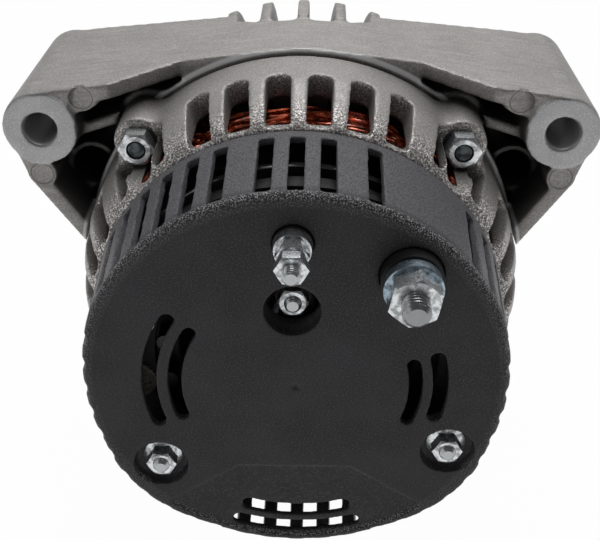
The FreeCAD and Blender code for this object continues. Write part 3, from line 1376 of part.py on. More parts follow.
def terminal_holes(radius_b, radius_d, y0, y1):
    return [rod(radius_b, y0, y1, *B_PLUS_XZ), rod(radius_d, y0, y1, *D_PLUS_XZ)]


def heat_sink(y0, fixing_r, diode_angles):
    """A horseshoe plate, open at the bottom, with its fixing holes and the seats of its press-fit diodes."""
    y1 = y0 + SINK_THICK
    plate = sector(SINK_INNER_R, SINK_OUTER_R, y0, y1, -SINK_SWEEP_DEG, SINK_SWEEP_DEG)
    cuts = [rod(fixing_r, y0 - PAST, y1 + PAST, x, z) for x, z in sink_fixings()]
    cuts += [rod(DIODE_R + THREAD_FIT, y0 - PAST, y1 + PAST, *polar(DIODE_PITCH_R, a)) for a in diode_angles]
    return plate.cut(cuts)


def positive_heat_sink():
    plate = heat_sink(POSITIVE_SINK_Y, SPACER_R_OUT + SPACER_FIT, POSITIVE_DIODES_DEG)
    y0, y1 = POSITIVE_SINK_Y - PAST, POSITIVE_SINK_Y + SINK_THICK + PAST
    return plate.cut(terminal_holes(M8_PITCH + THREAD_FIT, D_PLUS_BUSH_R + BOLT_CLEAR, y0, y1))


def negative_heat_sink():
    return heat_sink(NEGATIVE_SINK_Y, M5 + BOLT_CLEAR, NEGATIVE_DIODES_DEG)


def diodes(angles, body_y0, lead_y0, lead_y1):
    solids = []
    for angle in angles:
        x, z = polar(DIODE_PITCH_R, angle)
        body = rod(DIODE_R, body_y0, body_y0 + DIODE_LENGTH, x, z)
        solids.append(body.fuse(rod(DIODE_LEAD_R, lead_y0, lead_y1, x, z)).removeSplitter())
    return group(solids)


def positive_diodes():
    body_y0 = POSITIVE_SINK_Y - DIODE_PROUD
    return diodes(POSITIVE_DIODES_DEG, body_y0, body_y0 + DIODE_LENGTH / 2, BOARD_Y)


def negative_diodes():
    body_y0 = NEGATIVE_SINK_Y - DIODE_PROUD
    return diodes(NEGATIVE_DIODES_DEG, body_y0, BOARD_Y + BOARD_THICK, body_y0 + DIODE_LENGTH / 2)


def exciter_diodes():
    return group([
        rod(EXCITER_R, BOARD_Y - EXCITER_LENGTH, BOARD_Y, *polar(EXCITER_PITCH_R, a)) for a in EXCITER_DEG
    ])


def diode_board():
    y0, y1 = BOARD_Y, BOARD_Y + BOARD_THICK
    plate = sector(BOARD_INNER_R, BOARD_OUTER_R, y0, y1, -BOARD_SWEEP_DEG, BOARD_SWEEP_DEG)
    cuts = [rod(SPACER_R_OUT + SPACER_FIT, y0 - PAST, y1 + PAST, x, z) for x, z in sink_fixings()]
    cuts += terminal_holes(corner_radius(M8_FLATS) + HEAD_CLEAR, M5_PITCH + THREAD_FIT, y0 - PAST, y1 + PAST)
    return plate.cut(cuts)


def rectifier_spacers():
    """Insulating sleeves between the two sinks, and the sleeves that carry the cover above them."""
    solids = []
    for x, z in sink_fixings():
        on_stud = (x, z) in COVER_STUD_XZ
        bore = (M5 if on_stud else M4) + THREAD_FIT
        top = NUT_POCKET_DEPTH + COVER_FACE if on_stud else POSITIVE_SINK_Y - SPACER_COLLAR
        collar = tube(SPACER_R_OUT + SPACER_COLLAR, bore, top, POSITIVE_SINK_Y, x, z)
        neck = tube(SPACER_R_OUT, bore, POSITIVE_SINK_Y - SPACER_COLLAR / 2, NEGATIVE_SINK_Y, x, z)
        solids.append(collar.fuse(neck).removeSplitter())
    return group(solids)


def rectifier_screw():
    return screw(sink_fixings()[2], POSITIVE_SINK_Y - SPACER_COLLAR, WALL_Y1 - STUD_SHORT)


# Terminals and cover fixings


def b_plus_stud():
    """The main output bolt: its head bears on the positive heat sink, its thread stands out past the nut."""
    x, z = B_PLUS_XZ
    seat = POSITIVE_SINK_Y + SINK_THICK
    head = hexagon(M8_FLATS, seat, seat + M8_HEAD, x, z, chamfer=M8_CHAMFER)
    body = threaded_stud(M8_CREST, M8_PITCH, B_PLUS_TIP, -B_PLUS_PROUD, b_plus_nut_face(), seat + PAST, x, z)
    return body.fuse(
        head
    ).removeSplitter()


def threaded_stud(crest_r, pitch_r, tip, y0, nut_face, y1, x, z):
    """A stud drawn at its crests where it stands free and at its pitch line inside nuts and bushes."""
    step = nut_face - STUD_TO_NUT
    body = turned(
        (y0, 0), (y0, crest_r - tip), (y0 + tip, crest_r), (step, crest_r), (step, pitch_r),
        (y1, pitch_r), (y1, 0),
    )
    return moved(body, x, z)


def b_plus_washer_face():
    return -B_PLUS_BUSH_PROUD - B_PLUS_SLEEVE_PROUD - B_PLUS_WASHER


def b_plus_nut_face():
    return b_plus_washer_face() - M8_NUT


def b_plus_insulator():
    bore_r = B_PLUS_BUSH_R - B_PLUS_BUSH_WALL
    return tube(B_PLUS_BUSH_R, bore_r, -B_PLUS_BUSH_PROUD, POSITIVE_SINK_Y, *B_PLUS_XZ)


def b_plus_sleeve():
    """The metal sleeve that carries the clamp load down to the heat sink."""
    y0 = -B_PLUS_BUSH_PROUD - B_PLUS_SLEEVE_PROUD
    outer_r = B_PLUS_BUSH_R - B_PLUS_BUSH_WALL - B_PLUS_SLEEVE_PLAY
    return tube(outer_r, M8_PITCH + THREAD_FIT, y0, POSITIVE_SINK_Y, *B_PLUS_XZ)


def b_plus_washer():
    y0 = b_plus_washer_face()
    return tube(B_PLUS_WASHER_R, M8_PITCH + BOLT_CLEAR, y0, y0 + B_PLUS_WASHER, *B_PLUS_XZ)


def b_plus_nut():
    x, z = B_PLUS_XZ
    y0, y1 = b_plus_nut_face(), b_plus_washer_face()
    flange = rod(corner_radius(M8_FLATS) + B_PLUS_NUT_FLANGE_OVER, y1 - B_PLUS_NUT_FLANGE, y1, x, z)
    body = hexagon(M8_FLATS, y0, y1 - B_PLUS_NUT_FLANGE / 2, x, z, chamfer=M8_CHAMFER, turn=B_PLUS_NUT_TURN)
    return body.fuse(flange).removeSplitter().cut(rod(M8_PITCH + THREAD_FIT, y0 - PAST, y1 + PAST, x, z))


def stud(radius, y0, y1, x, z):
    tip = radius * STUD_TIP
    body = turned((y0, 0), (y0, radius - tip), (y0 + tip, radius), (y1, radius), (y1, 0))
    return moved(body, x, z)


def d_plus_nut_faces():
    """Where the serrated ring, the first nut and the second nut begin, counted outward from the cover."""
    ring_y = -D_PLUS_BUSH_PROUD - D_PLUS_RING
    first_y = ring_y - M5_NUT
    second_y = first_y - D_PLUS_NUT_GAP - M5_NUT
    return ring_y, first_y, second_y


def d_plus_stud():
    x, z = D_PLUS_XZ
    head_y0 = BOARD_Y + BOARD_THICK
    head = hexagon(M5_FLATS, head_y0, head_y0 + M5_HEAD, x, z)
    nut_face = d_plus_nut_faces()[2]
    tip = M5_CREST * STUD_TIP
    shank = threaded_stud(M5_CREST, M5_PITCH, tip, -D_PLUS_PROUD, nut_face, head_y0 + M5_HEAD / 2, x, z)
    return shank.fuse(head).removeSplitter()


def d_plus_insulator():
    return tube(D_PLUS_BUSH_R, M5_PITCH + THREAD_FIT, -D_PLUS_BUSH_PROUD, BOARD_Y, *D_PLUS_XZ)


def d_plus_nuts():
    """A serrated flange ring and two plain nuts, one for the unit and one for the customer's lead."""
    x, z = D_PLUS_XZ
    ring_y, first_y, second_y = d_plus_nut_faces()
    bore_r = M5_PITCH + THREAD_FIT
    ring = tube(D_PLUS_RING_R, bore_r, ring_y, ring_y + D_PLUS_RING, x, z)
    bore = rod(bore_r, second_y - PAST, ring_y + PAST, x, z)
    nuts = [hexagon(M5_FLATS, y, y + M5_NUT, x, z, chamfer=M5_CHAMFER).cut(bore) for y in (first_y, second_y)]
    return group([ring] + nuts)


def w_stud():
    return stud(M5, W_STUD_START, holder_rear_y() + W_STUD_GRIP, *W_XZ)


def w_nut():
    y0, y1 = W_NUT_FACE, W_NUT_FACE + M5_NUT
    body = hexagon(M5_FLATS, y0, y1, *W_XZ, chamfer=M5_CHAMFER)
    return body.cut(rod(M5 + THREAD_FIT, y0 - PAST, y1 + PAST, *W_XZ))


def cover_studs():
    return group([stud(M5, -COVER_STUD_PROUD, WALL_Y1 - STUD_SHORT, x, z) for x, z in COVER_STUD_XZ])


def cover_nuts():
    solids = []
    y1 = NUT_POCKET_DEPTH
    y0 = y1 - M5_NUT - COVER_NUT_EXTRA
    for x, z in COVER_STUD_XZ:
        flange = turned(
            (y1 - COVER_NUT_FLANGE, 0), (y1 - COVER_NUT_FLANGE, M5_FLATS / 2),
            (y1 - COVER_NUT_FLANGE_EDGE, COVER_NUT_FLANGE_R), (y1, COVER_NUT_FLANGE_R), (y1, 0),
        )
        body = hexagon(M5_FLATS, y0, y1 - COVER_NUT_FLANGE_EDGE / 2, x, z, chamfer=M5_CHAMFER)
        nut = moved(flange, x, z).fuse(body).removeSplitter()
        solids.append(nut.cut(rod(M5 + THREAD_FIT, y0 - PAST, y1 + PAST, x, z)))
    return group(solids)


# Through bolts


def through_bolts():
    solids = []
    for angle in lug_angles():
        x, z = polar(BOLT_PITCH_R, angle)
        head = hexagon(M6_FLATS, BARREL_Y1, BARREL_Y1 + M6_HEAD, x, z, chamfer=M6_HEAD_CHAMFER)
        shank = stud(M6, SEAT_Y - M6_NUT - BOLT_END, BARREL_Y1 + PAST, x, z)
        solids.append(shank.fuse(head).removeSplitter())
    return group(solids)


def through_bolt_nuts():
    solids = []
    for angle in lug_angles():
        x, z = polar(BOLT_PITCH_R, angle)
        body = hexagon(M6_FLATS, SEAT_Y - M6_NUT, SEAT_Y, x, z, chamfer=M6_NUT_CHAMFER)
        solids.append(body.cut(rod(M6 + THREAD_FIT, SEAT_Y - M6_NUT - PAST, SEAT_Y + PAST, x, z)))
    return group(solids)


def regulator_screws():
    y1 = HOLDER_FLANGE_Y1
    return group([screw(place, y1 - FLANGE_THICK, WALL_Y1 - STUD_SHORT) for place in FLANGE_SCREW_XZ])


def main():
    os.makedirs("parts", exist_ok=True)
    inner_place, outer_place = slip_ring_places()[1], slip_ring_places()[0]
    front_mid = (FRONT_BEARING_Y0 + FRONT_BEARING_Y1) / 2
    rear_mid = (REAR_BEARING_Y0 + REAR_BEARING_Y1) / 2
    nodes = {
        "rear_cover": rear_cover(),
        "rear_bracket": rear_bracket(),
        "drive_end_bracket": drive_end_bracket(),
        "stator_core": stator_core(),
        "slot_liners": slot_liners(),
        "stator_windings": stator_windings(),
        "through_bolts": through_bolts(),
        "through_bolt_nuts": through_bolt_nuts(),
        "front_bearing_outer_race": outer_race(
            FRONT_BEARING_R, FRONT_BEARING_Y0, FRONT_BEARING_Y1, FRONT_RACE_R, FRONT_BALL_R
        ),
        "front_bearing_inner_race": inner_race(FRONT_BEARING_Y0, FRONT_BEARING_Y1, FRONT_RACE_R, FRONT_BALL_R),
        "front_bearing_shields": shields(FRONT_BEARING_Y0, FRONT_BEARING_Y1, FRONT_RACE_R, FRONT_BALL_R),
        "front_bearing_balls": balls(FRONT_BALLS, FRONT_RACE_R, FRONT_BALL_R, front_mid),
        "front_bearing_cage": cage(FRONT_BALLS, FRONT_RACE_R, FRONT_BALL_R, front_mid),
        "rear_bearing_outer_race": outer_race(
            REAR_BEARING_R, REAR_BEARING_Y0, REAR_BEARING_Y1, REAR_RACE_R, REAR_BALL_R
        ),
        "rear_bearing_inner_race": inner_race(REAR_BEARING_Y0, REAR_BEARING_Y1, REAR_RACE_R, REAR_BALL_R),
        "rear_bearing_shields": shields(REAR_BEARING_Y0, REAR_BEARING_Y1, REAR_RACE_R, REAR_BALL_R),
        "rear_bearing_balls": balls(REAR_BALLS, REAR_RACE_R, REAR_BALL_R, rear_mid),
        "rear_bearing_cage": cage(REAR_BALLS, REAR_RACE_R, REAR_BALL_R, rear_mid),
        "bearing_retainer": bearing_retainer(),
        "retainer_screws": retainer_screws(),
        "rotor_shaft": rotor_shaft(),
        "front_claw_pole": claw_pole(True),
        "rear_claw_pole": claw_pole(False),
        "field_bobbin": field_bobbin(),
        "field_coil": field_coil(),
        "front_fan": fan(ROTOR_Y1, 1, FRONT_FAN_BLADES),
        "rear_fan": fan(ROTOR_Y0, -1, REAR_FAN_BLADES),
        "slip_ring_hub": slip_ring_hub(),
        "slip_rings": slip_rings(),
        "rotor_spacer": tube(SPACER_R, JOURNAL_R + THREAD_FIT, ROTOR_Y1 + FAN_PLATE, FRONT_BEARING_Y0),
        "pulley_spacer": tube(SPACER_R, JOURNAL_R + THREAD_FIT, FRONT_BEARING_Y1, PULLEY_Y0),
        "pulley": pulley(),
        "pulley_nut": pulley_nut(),
        "inner_brush": brush(inner_place),
        "outer_brush": brush(outer_place),
        "inner_brush_spring": brush_spring(inner_place),
        "outer_brush_spring": brush_spring(outer_place),
        "brush_holder": brush_holder(),
        "regulator": regulator(),
        "regulator_screws": regulator_screws(),
        "positive_heat_sink": positive_heat_sink(),
        "negative_heat_sink": negative_heat_sink(),
        "positive_diodes": positive_diodes(),
        "negative_diodes": negative_diodes(),
        "exciter_diodes": exciter_diodes(),
        "diode_board": diode_board(),
        "rectifier_spacers": rectifier_spacers(),
        "rectifier_screw": rectifier_screw(),
        "cover_studs": cover_studs(),
        "cover_nuts": cover_nuts(),
        "b_plus_stud": b_plus_stud(),
        "b_plus_insulator": b_plus_insulator(),
        "b_plus_sleeve": b_plus_sleeve(),
        "b_plus_washer": b_plus_washer(),
        "b_plus_nut": b_plus_nut(),
        "d_plus_stud": d_plus_stud(),
        "d_plus_insulator": d_plus_insulator(),
        "d_plus_nuts": d_plus_nuts(),
        "w_stud": w_stud(),
        "w_nut": w_nut(),
    }
    for name, shape in nodes.items():
        export(name, shape)


main()
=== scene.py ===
"""Finishes, wound wire, threads and studio for an automotive alternator seen from its rear cover."""

import math
import random

import bmesh
import bpy
from bpy.props import FloatProperty, FloatVectorProperty, IntProperty, PointerProperty
from bpy.types import Operator, Panel, PropertyGroup
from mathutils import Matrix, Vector


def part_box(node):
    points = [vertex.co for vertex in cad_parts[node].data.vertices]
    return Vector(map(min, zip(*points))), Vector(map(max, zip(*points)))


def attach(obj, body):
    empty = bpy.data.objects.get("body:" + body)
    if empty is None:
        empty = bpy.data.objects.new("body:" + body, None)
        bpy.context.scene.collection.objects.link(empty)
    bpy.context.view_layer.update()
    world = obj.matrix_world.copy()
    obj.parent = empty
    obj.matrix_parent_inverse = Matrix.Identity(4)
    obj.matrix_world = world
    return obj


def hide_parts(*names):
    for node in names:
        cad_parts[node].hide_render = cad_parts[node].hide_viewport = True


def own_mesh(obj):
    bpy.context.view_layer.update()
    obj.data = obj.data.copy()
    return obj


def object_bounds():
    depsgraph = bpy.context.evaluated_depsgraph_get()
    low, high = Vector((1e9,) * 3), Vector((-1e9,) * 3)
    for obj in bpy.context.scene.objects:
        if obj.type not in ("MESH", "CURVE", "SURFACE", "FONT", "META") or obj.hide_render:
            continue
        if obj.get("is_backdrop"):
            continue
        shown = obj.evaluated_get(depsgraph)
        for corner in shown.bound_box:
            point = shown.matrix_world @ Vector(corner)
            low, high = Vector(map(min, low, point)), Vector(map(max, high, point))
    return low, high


bl_info = {
    "name": "Alternator looks",
    "version": (1, 0, 0),
    "blender": (4, 5, 0),
    "location": "View3D > Sidebar > Alternator",
    "description": "Dresses the packed alternator with castings, wire, threads, finishes and a studio",
    "category": "Object",
}

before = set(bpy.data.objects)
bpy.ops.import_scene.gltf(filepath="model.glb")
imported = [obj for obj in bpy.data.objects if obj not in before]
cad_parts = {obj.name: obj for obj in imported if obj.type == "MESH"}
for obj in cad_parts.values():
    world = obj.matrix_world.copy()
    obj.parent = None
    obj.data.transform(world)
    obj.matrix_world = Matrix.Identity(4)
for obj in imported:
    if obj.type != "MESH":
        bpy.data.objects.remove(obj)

MM = 0.001
COVER_LOW, COVER_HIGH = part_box("rear_cover")
SHAFT_Z = (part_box("pulley")[0].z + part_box("pulley")[1].z) / 2

# The ear bosses: where a mask on each machined face fades in, and the lathe's feed that marks them
EAR_X = 83 * MM
EAR_MID_Y = 32 * MM
BOSS_END = (31.55 * MM, 31.75 * MM)
BOSS_RING = (12.6 * MM, 12.3 * MM)
BOSS_BORE = (5.9 * MM, 5.7 * MM)
TOOL_FEED = 0.5 * MM
EJECTOR_R = 3.7 * MM
EJECTOR_PADS = ((68.9 * MM, 10.3 * MM), (84.4 * MM, -15.8 * MM))

# The values of a noise field that count as 0 and 1
CLOUDY = (0.35, 0.65)
SPECKLED = (0.3, 0.7)
SHARP = (0.4, 0.6)
GLINTS = (0.53, 0.61)
PITS = (0.47, 0.38)
SPARKS = (0.56, 0.66)
RIM_HIGHLIGHT_SPECKS = (0.52, 0.62)
PALE_GRAINS = (0.52, 0.72)
STAINS = (0.42, 0.62)
LIGHT_FLOW = (0.56, 0.70)
DARK_FLOW = (0.44, 0.30)

# How strongly the painted glints and the dark specks show on a smooth and on a bitten casting, and how deep
# common grains are
PAINTED_GLINT_SHARE = (0.18, 1.0)
PIT_SHARE = (0.20, 0.9)
FINE_RELIEF = 0.02 * MM
MOULDED_RELIEF = 0.03 * MM
CAST_METALLIC = 0.35

# Sockets of Blender's Mix node when it mixes colours
MIX_FIRST, MIX_SECOND, MIX_RESULT = 6, 7, 2

SMOOTH_ANGLE = math.radians(32)
MERGE_DISTANCE = 0.0005 * MM
SENSOR_WIDTH_MM = 36


# Sizes and colours that a user would change


def colour(name, description, default):
    return FloatVectorProperty(
        name=name, description=description, default=default, subtype="COLOR", size=3, min=0, max=1
    )


def length(name, description, default_mm):
    return FloatProperty(
        name=name, description=description, default=default_mm * MM, min=0, precision=5, unit="LENGTH",
        subtype="DISTANCE",
    )


def share(name, description, default):
    return FloatProperty(name=name, description=description, default=default, min=0, max=1, subtype="FACTOR")


def whole(name, description, default, low, high):
    return IntProperty(name=name, description=description, default=default, min=low, max=high)


def turn(name, description, default_degrees):
    return FloatProperty(
        name=name, description=description, default=math.radians(default_degrees), subtype="ANGLE",
        unit="ROTATION",
    )


def power(name, description, default):
    return FloatProperty(name=name, description=description, default=default, min=0)


class CastingLooks(PropertyGroup):
    """The two die castings."""

    colour: colour("Metal", "Colour of the bare casting", (0.352, 0.336, 0.324))
    machined: colour("Machined faces", "Colour where a tool has faced the casting", (0.38, 0.38, 0.386))
    roughness: share("Roughness", "How dull the blasted skin is", 0.5)
    grain: length("Grain", "Width of one grain of the blasted skin", 0.55)
    relief: length("Grain depth", "How deep the grain is", 0.05)
    rear_voxel: length("Rear detail", "Finest detail on the rear casting", 0.55)
    drive_voxel: length("Drive end detail", "Finest detail on the drive end casting", 0.65)
    rounding: whole("Rounding", "Passes that soften the cast edges", 11, 0, 40)
    window_reach: length("Window reach", "How much further the rear windows run toward the cover", 1.8)
    rear_share: share("Rear mesh", "Share of the rear casting's faces kept", 0.5)
    drive_share: share("Drive end mesh", "Share of the drive end casting's faces kept", 0.4)


class CoverLooks(PropertyGroup):
    """The moulded rear cover."""

    colour: colour("Plastic", "Colour of the moulded cover", (0.040, 0.039, 0.042))
    # Colour of the painted highlight specks round the cover's rim
    scuffed: colour("Scuffed rim", "Colour of the specks round the rim", (0.42, 0.42, 0.43))
    roughness: share("Roughness", "How dull the moulded skin is", 0.5)
    grain: length("Grain", "Width of one grain of the eroded skin", 0.5)
    relief: length("Grain depth", "How deep the eroded grain is", 0.06)
    voxel: length("Detail", "Finest detail on the cover", 0.45)
    rounding: whole("Rounding", "Passes that soften the moulded edges", 3, 0, 40)
    mesh_share: share("Mesh", "Share of the cover's faces kept", 0.45)
    scallop: length("Scallop", "How deep the side slots notch the cover's lower rim", 1.0)
    corner_swell: length("Corner swell", "How far the rim leaves a true circle at sides and corners", 0.9)
    slot_pitch: turn("Slot pitch", "Angle from one side slot to the next", 8)


class FastenerLooks(PropertyGroup):
    """Zinc-plated studs, nuts and washers."""

    zinc: colour("Zinc", "Colour of the bright plating", (0.72, 0.745, 0.76))
    washer: colour("Washer", "Colour of the blue-passivated washer", (0.42, 0.52, 0.60))
    bolt_end: colour("Bolt ends", "Colour of the cut ends of the through bolts", (0.10, 0.115, 0.12))
    roughness: share("Roughness", "How dull the plating is", 0.27)
    m8_pitch: length("M8 pitch", "Thread pitch of the output stud", 1.25)
    m6_pitch: length("M6 pitch", "Thread pitch of the through bolts", 1.0)
    m5_pitch: length("M5 pitch", "Thread pitch of the small studs", 0.8)


class WindingLooks(PropertyGroup):
    """The stator's wound wire."""

    colour: colour("Enamelled wire", "Colour of the varnished copper", (0.70, 0.125, 0.045))
    wire: length("Wire", "Diameter of one wire", 1.05)
    strands: whole("Strands", "Wires in each bundle", 10, 1, 24)
    slots: whole("Slots", "Slots in the stator", 36, 6, 72)
    span: whole("Span", "Slots that a coil steps over", 3, 1, 9)
    inner_radius: length("Inner radius", "Radius inside the wound ends", 52.4)
    outer_radius: length("Outer radius", "Radius outside the wound ends", 63.3)
    rear_height: length("Rear height", "How far the rear wound end stands off the stack", 21.2)
    front_height: length("Front height", "How far the front wound end stands off the stack", 14.7)
    seed: IntProperty(name="Seed", description="Starts the random lie of the wires", default=11, min=0)


class StudioLooks(PropertyGroup):
    """Camera, lights and floor."""

    lens: FloatProperty(name="Lens", description="Focal length of the camera in mm", default=60, min=10)
    camera_place: FloatVectorProperty(
        name="Camera place", description="Where the camera stands", default=(0.0063, -0.293, 0.1281),
        subtype="XYZ", unit="LENGTH", size=3, precision=4,
    )
    camera_tilt: turn("Tilt", "How far the camera looks down from level", 31.48)
    camera_turn: turn("Turn", "How far the camera is turned to the left", 1.25)
    floor: colour("Floor", "Colour of the pale floor", (0.86, 0.86, 0.86))
    sky: power("Sky", "Strength of the even light", 0.10)
    backdrop: power("Backdrop", "Strength of the pale wall behind", 0.7)
    key: power("Key", "Power of the large lamp above and behind", 3.2)
    fill: power("Fill", "Power of the lamp on the left in front", 0.8)


class AlternatorLooks(PropertyGroup):
    """All the looks of the alternator."""

    casting: PointerProperty(type=CastingLooks)
    cover: PointerProperty(type=CoverLooks)
    fastener: PointerProperty(type=FastenerLooks)
    winding: PointerProperty(type=WindingLooks)
    studio: PointerProperty(type=StudioLooks)


def looks():
    return bpy.context.scene.alternator_looks


# Shader nodes


def new_node(tree, kind, fields=None, **sockets):
    """Adds a node; a socket's name has underscores for spaces, and it takes a value or a node's output."""
    made = tree.nodes.new("ShaderNode" + kind)
    for field, value in (fields or {}).items():
        setattr(made, field, value)
    for name, value in sockets.items():
        socket = made.inputs[int(name[1:])] if name[1:].isdigit() else made.inputs[name.replace("_", " ")]
        if isinstance(value, bpy.types.NodeSocket):
            tree.links.new(value, socket)
        else:
            socket.default_value = value
    return made


def beside(*values, kind, fields=None, **sockets):
    """Adds a node to the tree of the first of the values that is another node's output."""
    tree = next(value.id_data for value in values if isinstance(value, bpy.types.NodeSocket))
    return new_node(tree, kind, fields, **sockets)


def part_of(vector, axis):
    return beside(vector, kind="SeparateXYZ", Vector=vector).outputs[axis]


def facing(at, axis):
    """How squarely the surface faces along an axis, from -1 to 1."""
    return part_of(beside(at, kind="NewGeometry").outputs["Normal"], axis)


def vectors(kind, first, second=(0, 0, 0), output="Vector"):
    return beside(first, kind="VectorMath", fields={"operation": kind}, _0=first, _1=second).outputs[output]


def noise(at, width, detail=2):
    """A cloudy pattern with patches of about this width; detail counts the finer layers in it."""
    return beside(at, kind="TexNoise", Vector=at, Scale=1 / width, Detail=detail).outputs["Fac"]


def spread(value, low, high, to_low=0.0, to_high=1.0):
    """The value between low and high, stretched over another range."""
    return beside(
        value, kind="MapRange", fields={"clamp": True},
        Value=value, From_Min=low, From_Max=high, To_Min=to_low, To_Max=to_high,
    ).outputs["Result"]


def between(amount, low, high):
    """A number that runs from low to high while the amount runs from 0 to 1."""
    return spread(amount, 0, 1, low, high)


def maths(kind, first, second=0.0):
    fields = {"operation": kind}
    return beside(first, second, kind="Math", fields=fields, _0=first, _1=second).outputs["Value"]


def product(first, second):
    return maths("MULTIPLY", first, second)


def larger(first, second):
    return maths("MAXIMUM", first, second)


def mix(factor, first, second, blend="MIX"):
    fields = {"data_type": "RGBA", "blend_type": blend}
    made = beside(factor, first, kind="Mix", fields=fields, Factor=factor)
    for index, value in ((MIX_FIRST, first), (MIX_SECOND, second)):
        if isinstance(value, bpy.types.NodeSocket):
            made.id_data.links.new(value, made.inputs[index])
        else:
            made.inputs[index].default_value = (*value, 1)
    return made.outputs[MIX_RESULT]


def bumped(height, depth):
    return beside(height, kind="Bump", Height=height, Distance=depth, Strength=1.0).outputs["Normal"]


def tone(base, factor):
    """The colour, darker or lighter by a factor."""
    return tuple(min(1.0, channel * factor) for channel in base)


def surface(name, base, metallic, roughness, specular=0.5, coat=0.0):
    """A material with plain values; returns it, its shader and the position in the part's own frame."""
    made = bpy.data.materials.new(name)
    made.use_nodes = True
    shader = made.node_tree.nodes["Principled BSDF"]
    shader.inputs["Base Color"].default_value = (*base, 1)
    shader.inputs["Metallic"].default_value = metallic
    shader.inputs["Roughness"].default_value = roughness
    shader.inputs["Specular IOR Level"].default_value = specular
    shader.inputs["Coat Weight"].default_value = coat
    made.diffuse_color = (*base, 1)
    return made, shader, new_node(made.node_tree, "TexCoord").outputs["Object"]


def join(shader, **outputs):
    for name, output in outputs.items():
        shader.id_data.links.new(output, shader.inputs[name.replace("_", " ")])


# Materials


def axis_distance(at, x, z):
    """Distance from the nearer of two mirrored axes along Y, or from one on the middle plane."""
    away = at
    if x:
        side = part_of(vectors("ABSOLUTE", at), "X")
        away = beside(at, kind="CombineXYZ", X=side, Z=part_of(at, "Z")).outputs["Vector"]
    away = vectors("SUBTRACT", away, (x, 0, z))
    away = vectors("MULTIPLY", away, (1, 0, 1))
    return vectors("LENGTH", away, output="Value")


def ring_mask(away, radius, width):
    """A thin ring at a distance from an axis, solid in its core."""
    core = 0.4
    off = maths("ABSOLUTE", maths("SUBTRACT", away, radius))
    return spread(off, width, width * core)


def ejector_marks(at, along):
    """Thin dark rings painted round the ejector pads beside each ear boss, on the plate's face."""
    line = 0.3 * MM
    plate_end, plate_start = 3.5 * MM, 2.5 * MM
    rings = 0.0
    for x, z in EJECTOR_PADS:
        rings = larger(rings, ring_mask(axis_distance(at, x, z), EJECTOR_R, line))
    return product(rings, spread(along, plate_end, plate_start))


def with_painted_shade(base_colour, reach, darkest):
    """The colour with painted shade in deep corners and pockets, darkest where the surface is most closed in.
    """
    closed, clear = 0.30, 0.75
    occlusion = beside(base_colour, kind="AmbientOcclusion", fields={"samples": 6}, Distance=reach)
    painted_shade = spread(occlusion.outputs["AO"], closed, clear, darkest, 1.0)
    shade = beside(painted_shade, kind="CombineColor", Red=painted_shade, Green=painted_shade, Blue=painted_shade).outputs["Color"]
    return mix(1.0, base_colour, shade, "MULTIPLY")


def facing_back(at):
    """How far the surface faces the rear of the alternator, where the shot blast bit deepest and the painted
    glints are made stronger.
    """
    side_on, square_on = -0.25, -0.8
    return spread(facing(at, "Y"), side_on, square_on)


def shoulder_foot(at):
    """How near a place is to the foot of the rear shoulder, beside the cover."""
    fades, full = COVER_HIGH.y + 11 * MM, COVER_HIGH.y + 4 * MM
    return spread(part_of(at, "Y"), fades, full)


def shade_behind_cover(at):
    """Where the rear casting lies in the dark behind the cover, which gets painted shade."""
    rim, inside = 62.5 * MM, 60.0 * MM
    return spread(axis_distance(at, 0, SHAFT_Z), rim, inside)


def cast_skin(at, base, grain, painted_glint_share=PAINTED_GLINT_SHARE[0], pit_share=PIT_SHARE[0]):
    """Colour, glint and height of a blasted die casting; the colour has painted glints, bright specks that
    stand for highlights, and dark specks, and the shares say how strongly each shows.
    """
    patch, dull, clear, painted_glint_tone, pitted = 18 * MM, 0.92, 1.06, 2.7, 0.22
    cloud = noise(at, patch, detail=3)
    speck = noise(at, grain)
    glint = spread(speck, *GLINTS)
    pit = spread(speck, *PITS)
    base_colour = mix(spread(cloud, *CLOUDY), tone(base, dull), tone(base, clear))
    # Painted glints: bright specks lightened into the colour
    lit = mix(product(glint, painted_glint_share), base_colour, tone(base, painted_glint_tone))
    return mix(product(pit, pit_share), lit, tone(base, pitted)), glint, speck


def rear_casting_skin():
    """The blasted rear casting, roughest at the foot of its shoulder where its painted glints are strongest,
    with painted shade behind the cover and in its corners and pockets.
    """
    look = looks().casting
    made, shader, at = surface("blasted_casting", look.colour, CAST_METALLIC, look.roughness)
    cover_shade = shade_behind_cover(at)
    face_bite, cover_shade_tone, glint_gloss, shallow, deep = 0.55, 0.14, 0.55, 0.5, 1.6
    bite = larger(product(facing_back(at), face_bite), shoulder_foot(at))
    bite = product(bite, between(cover_shade, 1, 0))
    shares = between(bite, *PAINTED_GLINT_SHARE), between(bite, *PIT_SHARE)
    base_colour, glint, speck = cast_skin(at, look.colour, look.grain, *shares)
    # Painted shade: the casting's colour is darkened behind the cover
    base_colour = mix(cover_shade, base_colour, tone(look.colour, cover_shade_tone))
    height = product(speck, between(bite, shallow, deep))
    # The rear casting's colour gets painted shade in its corners and pockets
    join(
        shader, Base_Color=with_painted_shade(base_colour, reach=9 * MM, darkest=0.25),
        Roughness=between(glint, look.roughness, look.roughness * glint_gloss),
        Normal=bumped(height, look.relief * 2),
    )
    return made


def streaked(at, base_colour, base):
    """The casting's colour with light and dark flow marks that run across the part."""
    width, drawn, strength, light, dark = 1.4 * MM, (0.07, 1, 1), 0.45, 1.5, 0.7
    streak = noise(vectors("MULTIPLY", at, drawn), width, detail=3)
    lit = mix(spread(streak, *LIGHT_FLOW, 0, strength), base_colour, tone(base, light))
    return mix(spread(streak, *DARK_FLOW, 0, strength), lit, tone(base, dark))


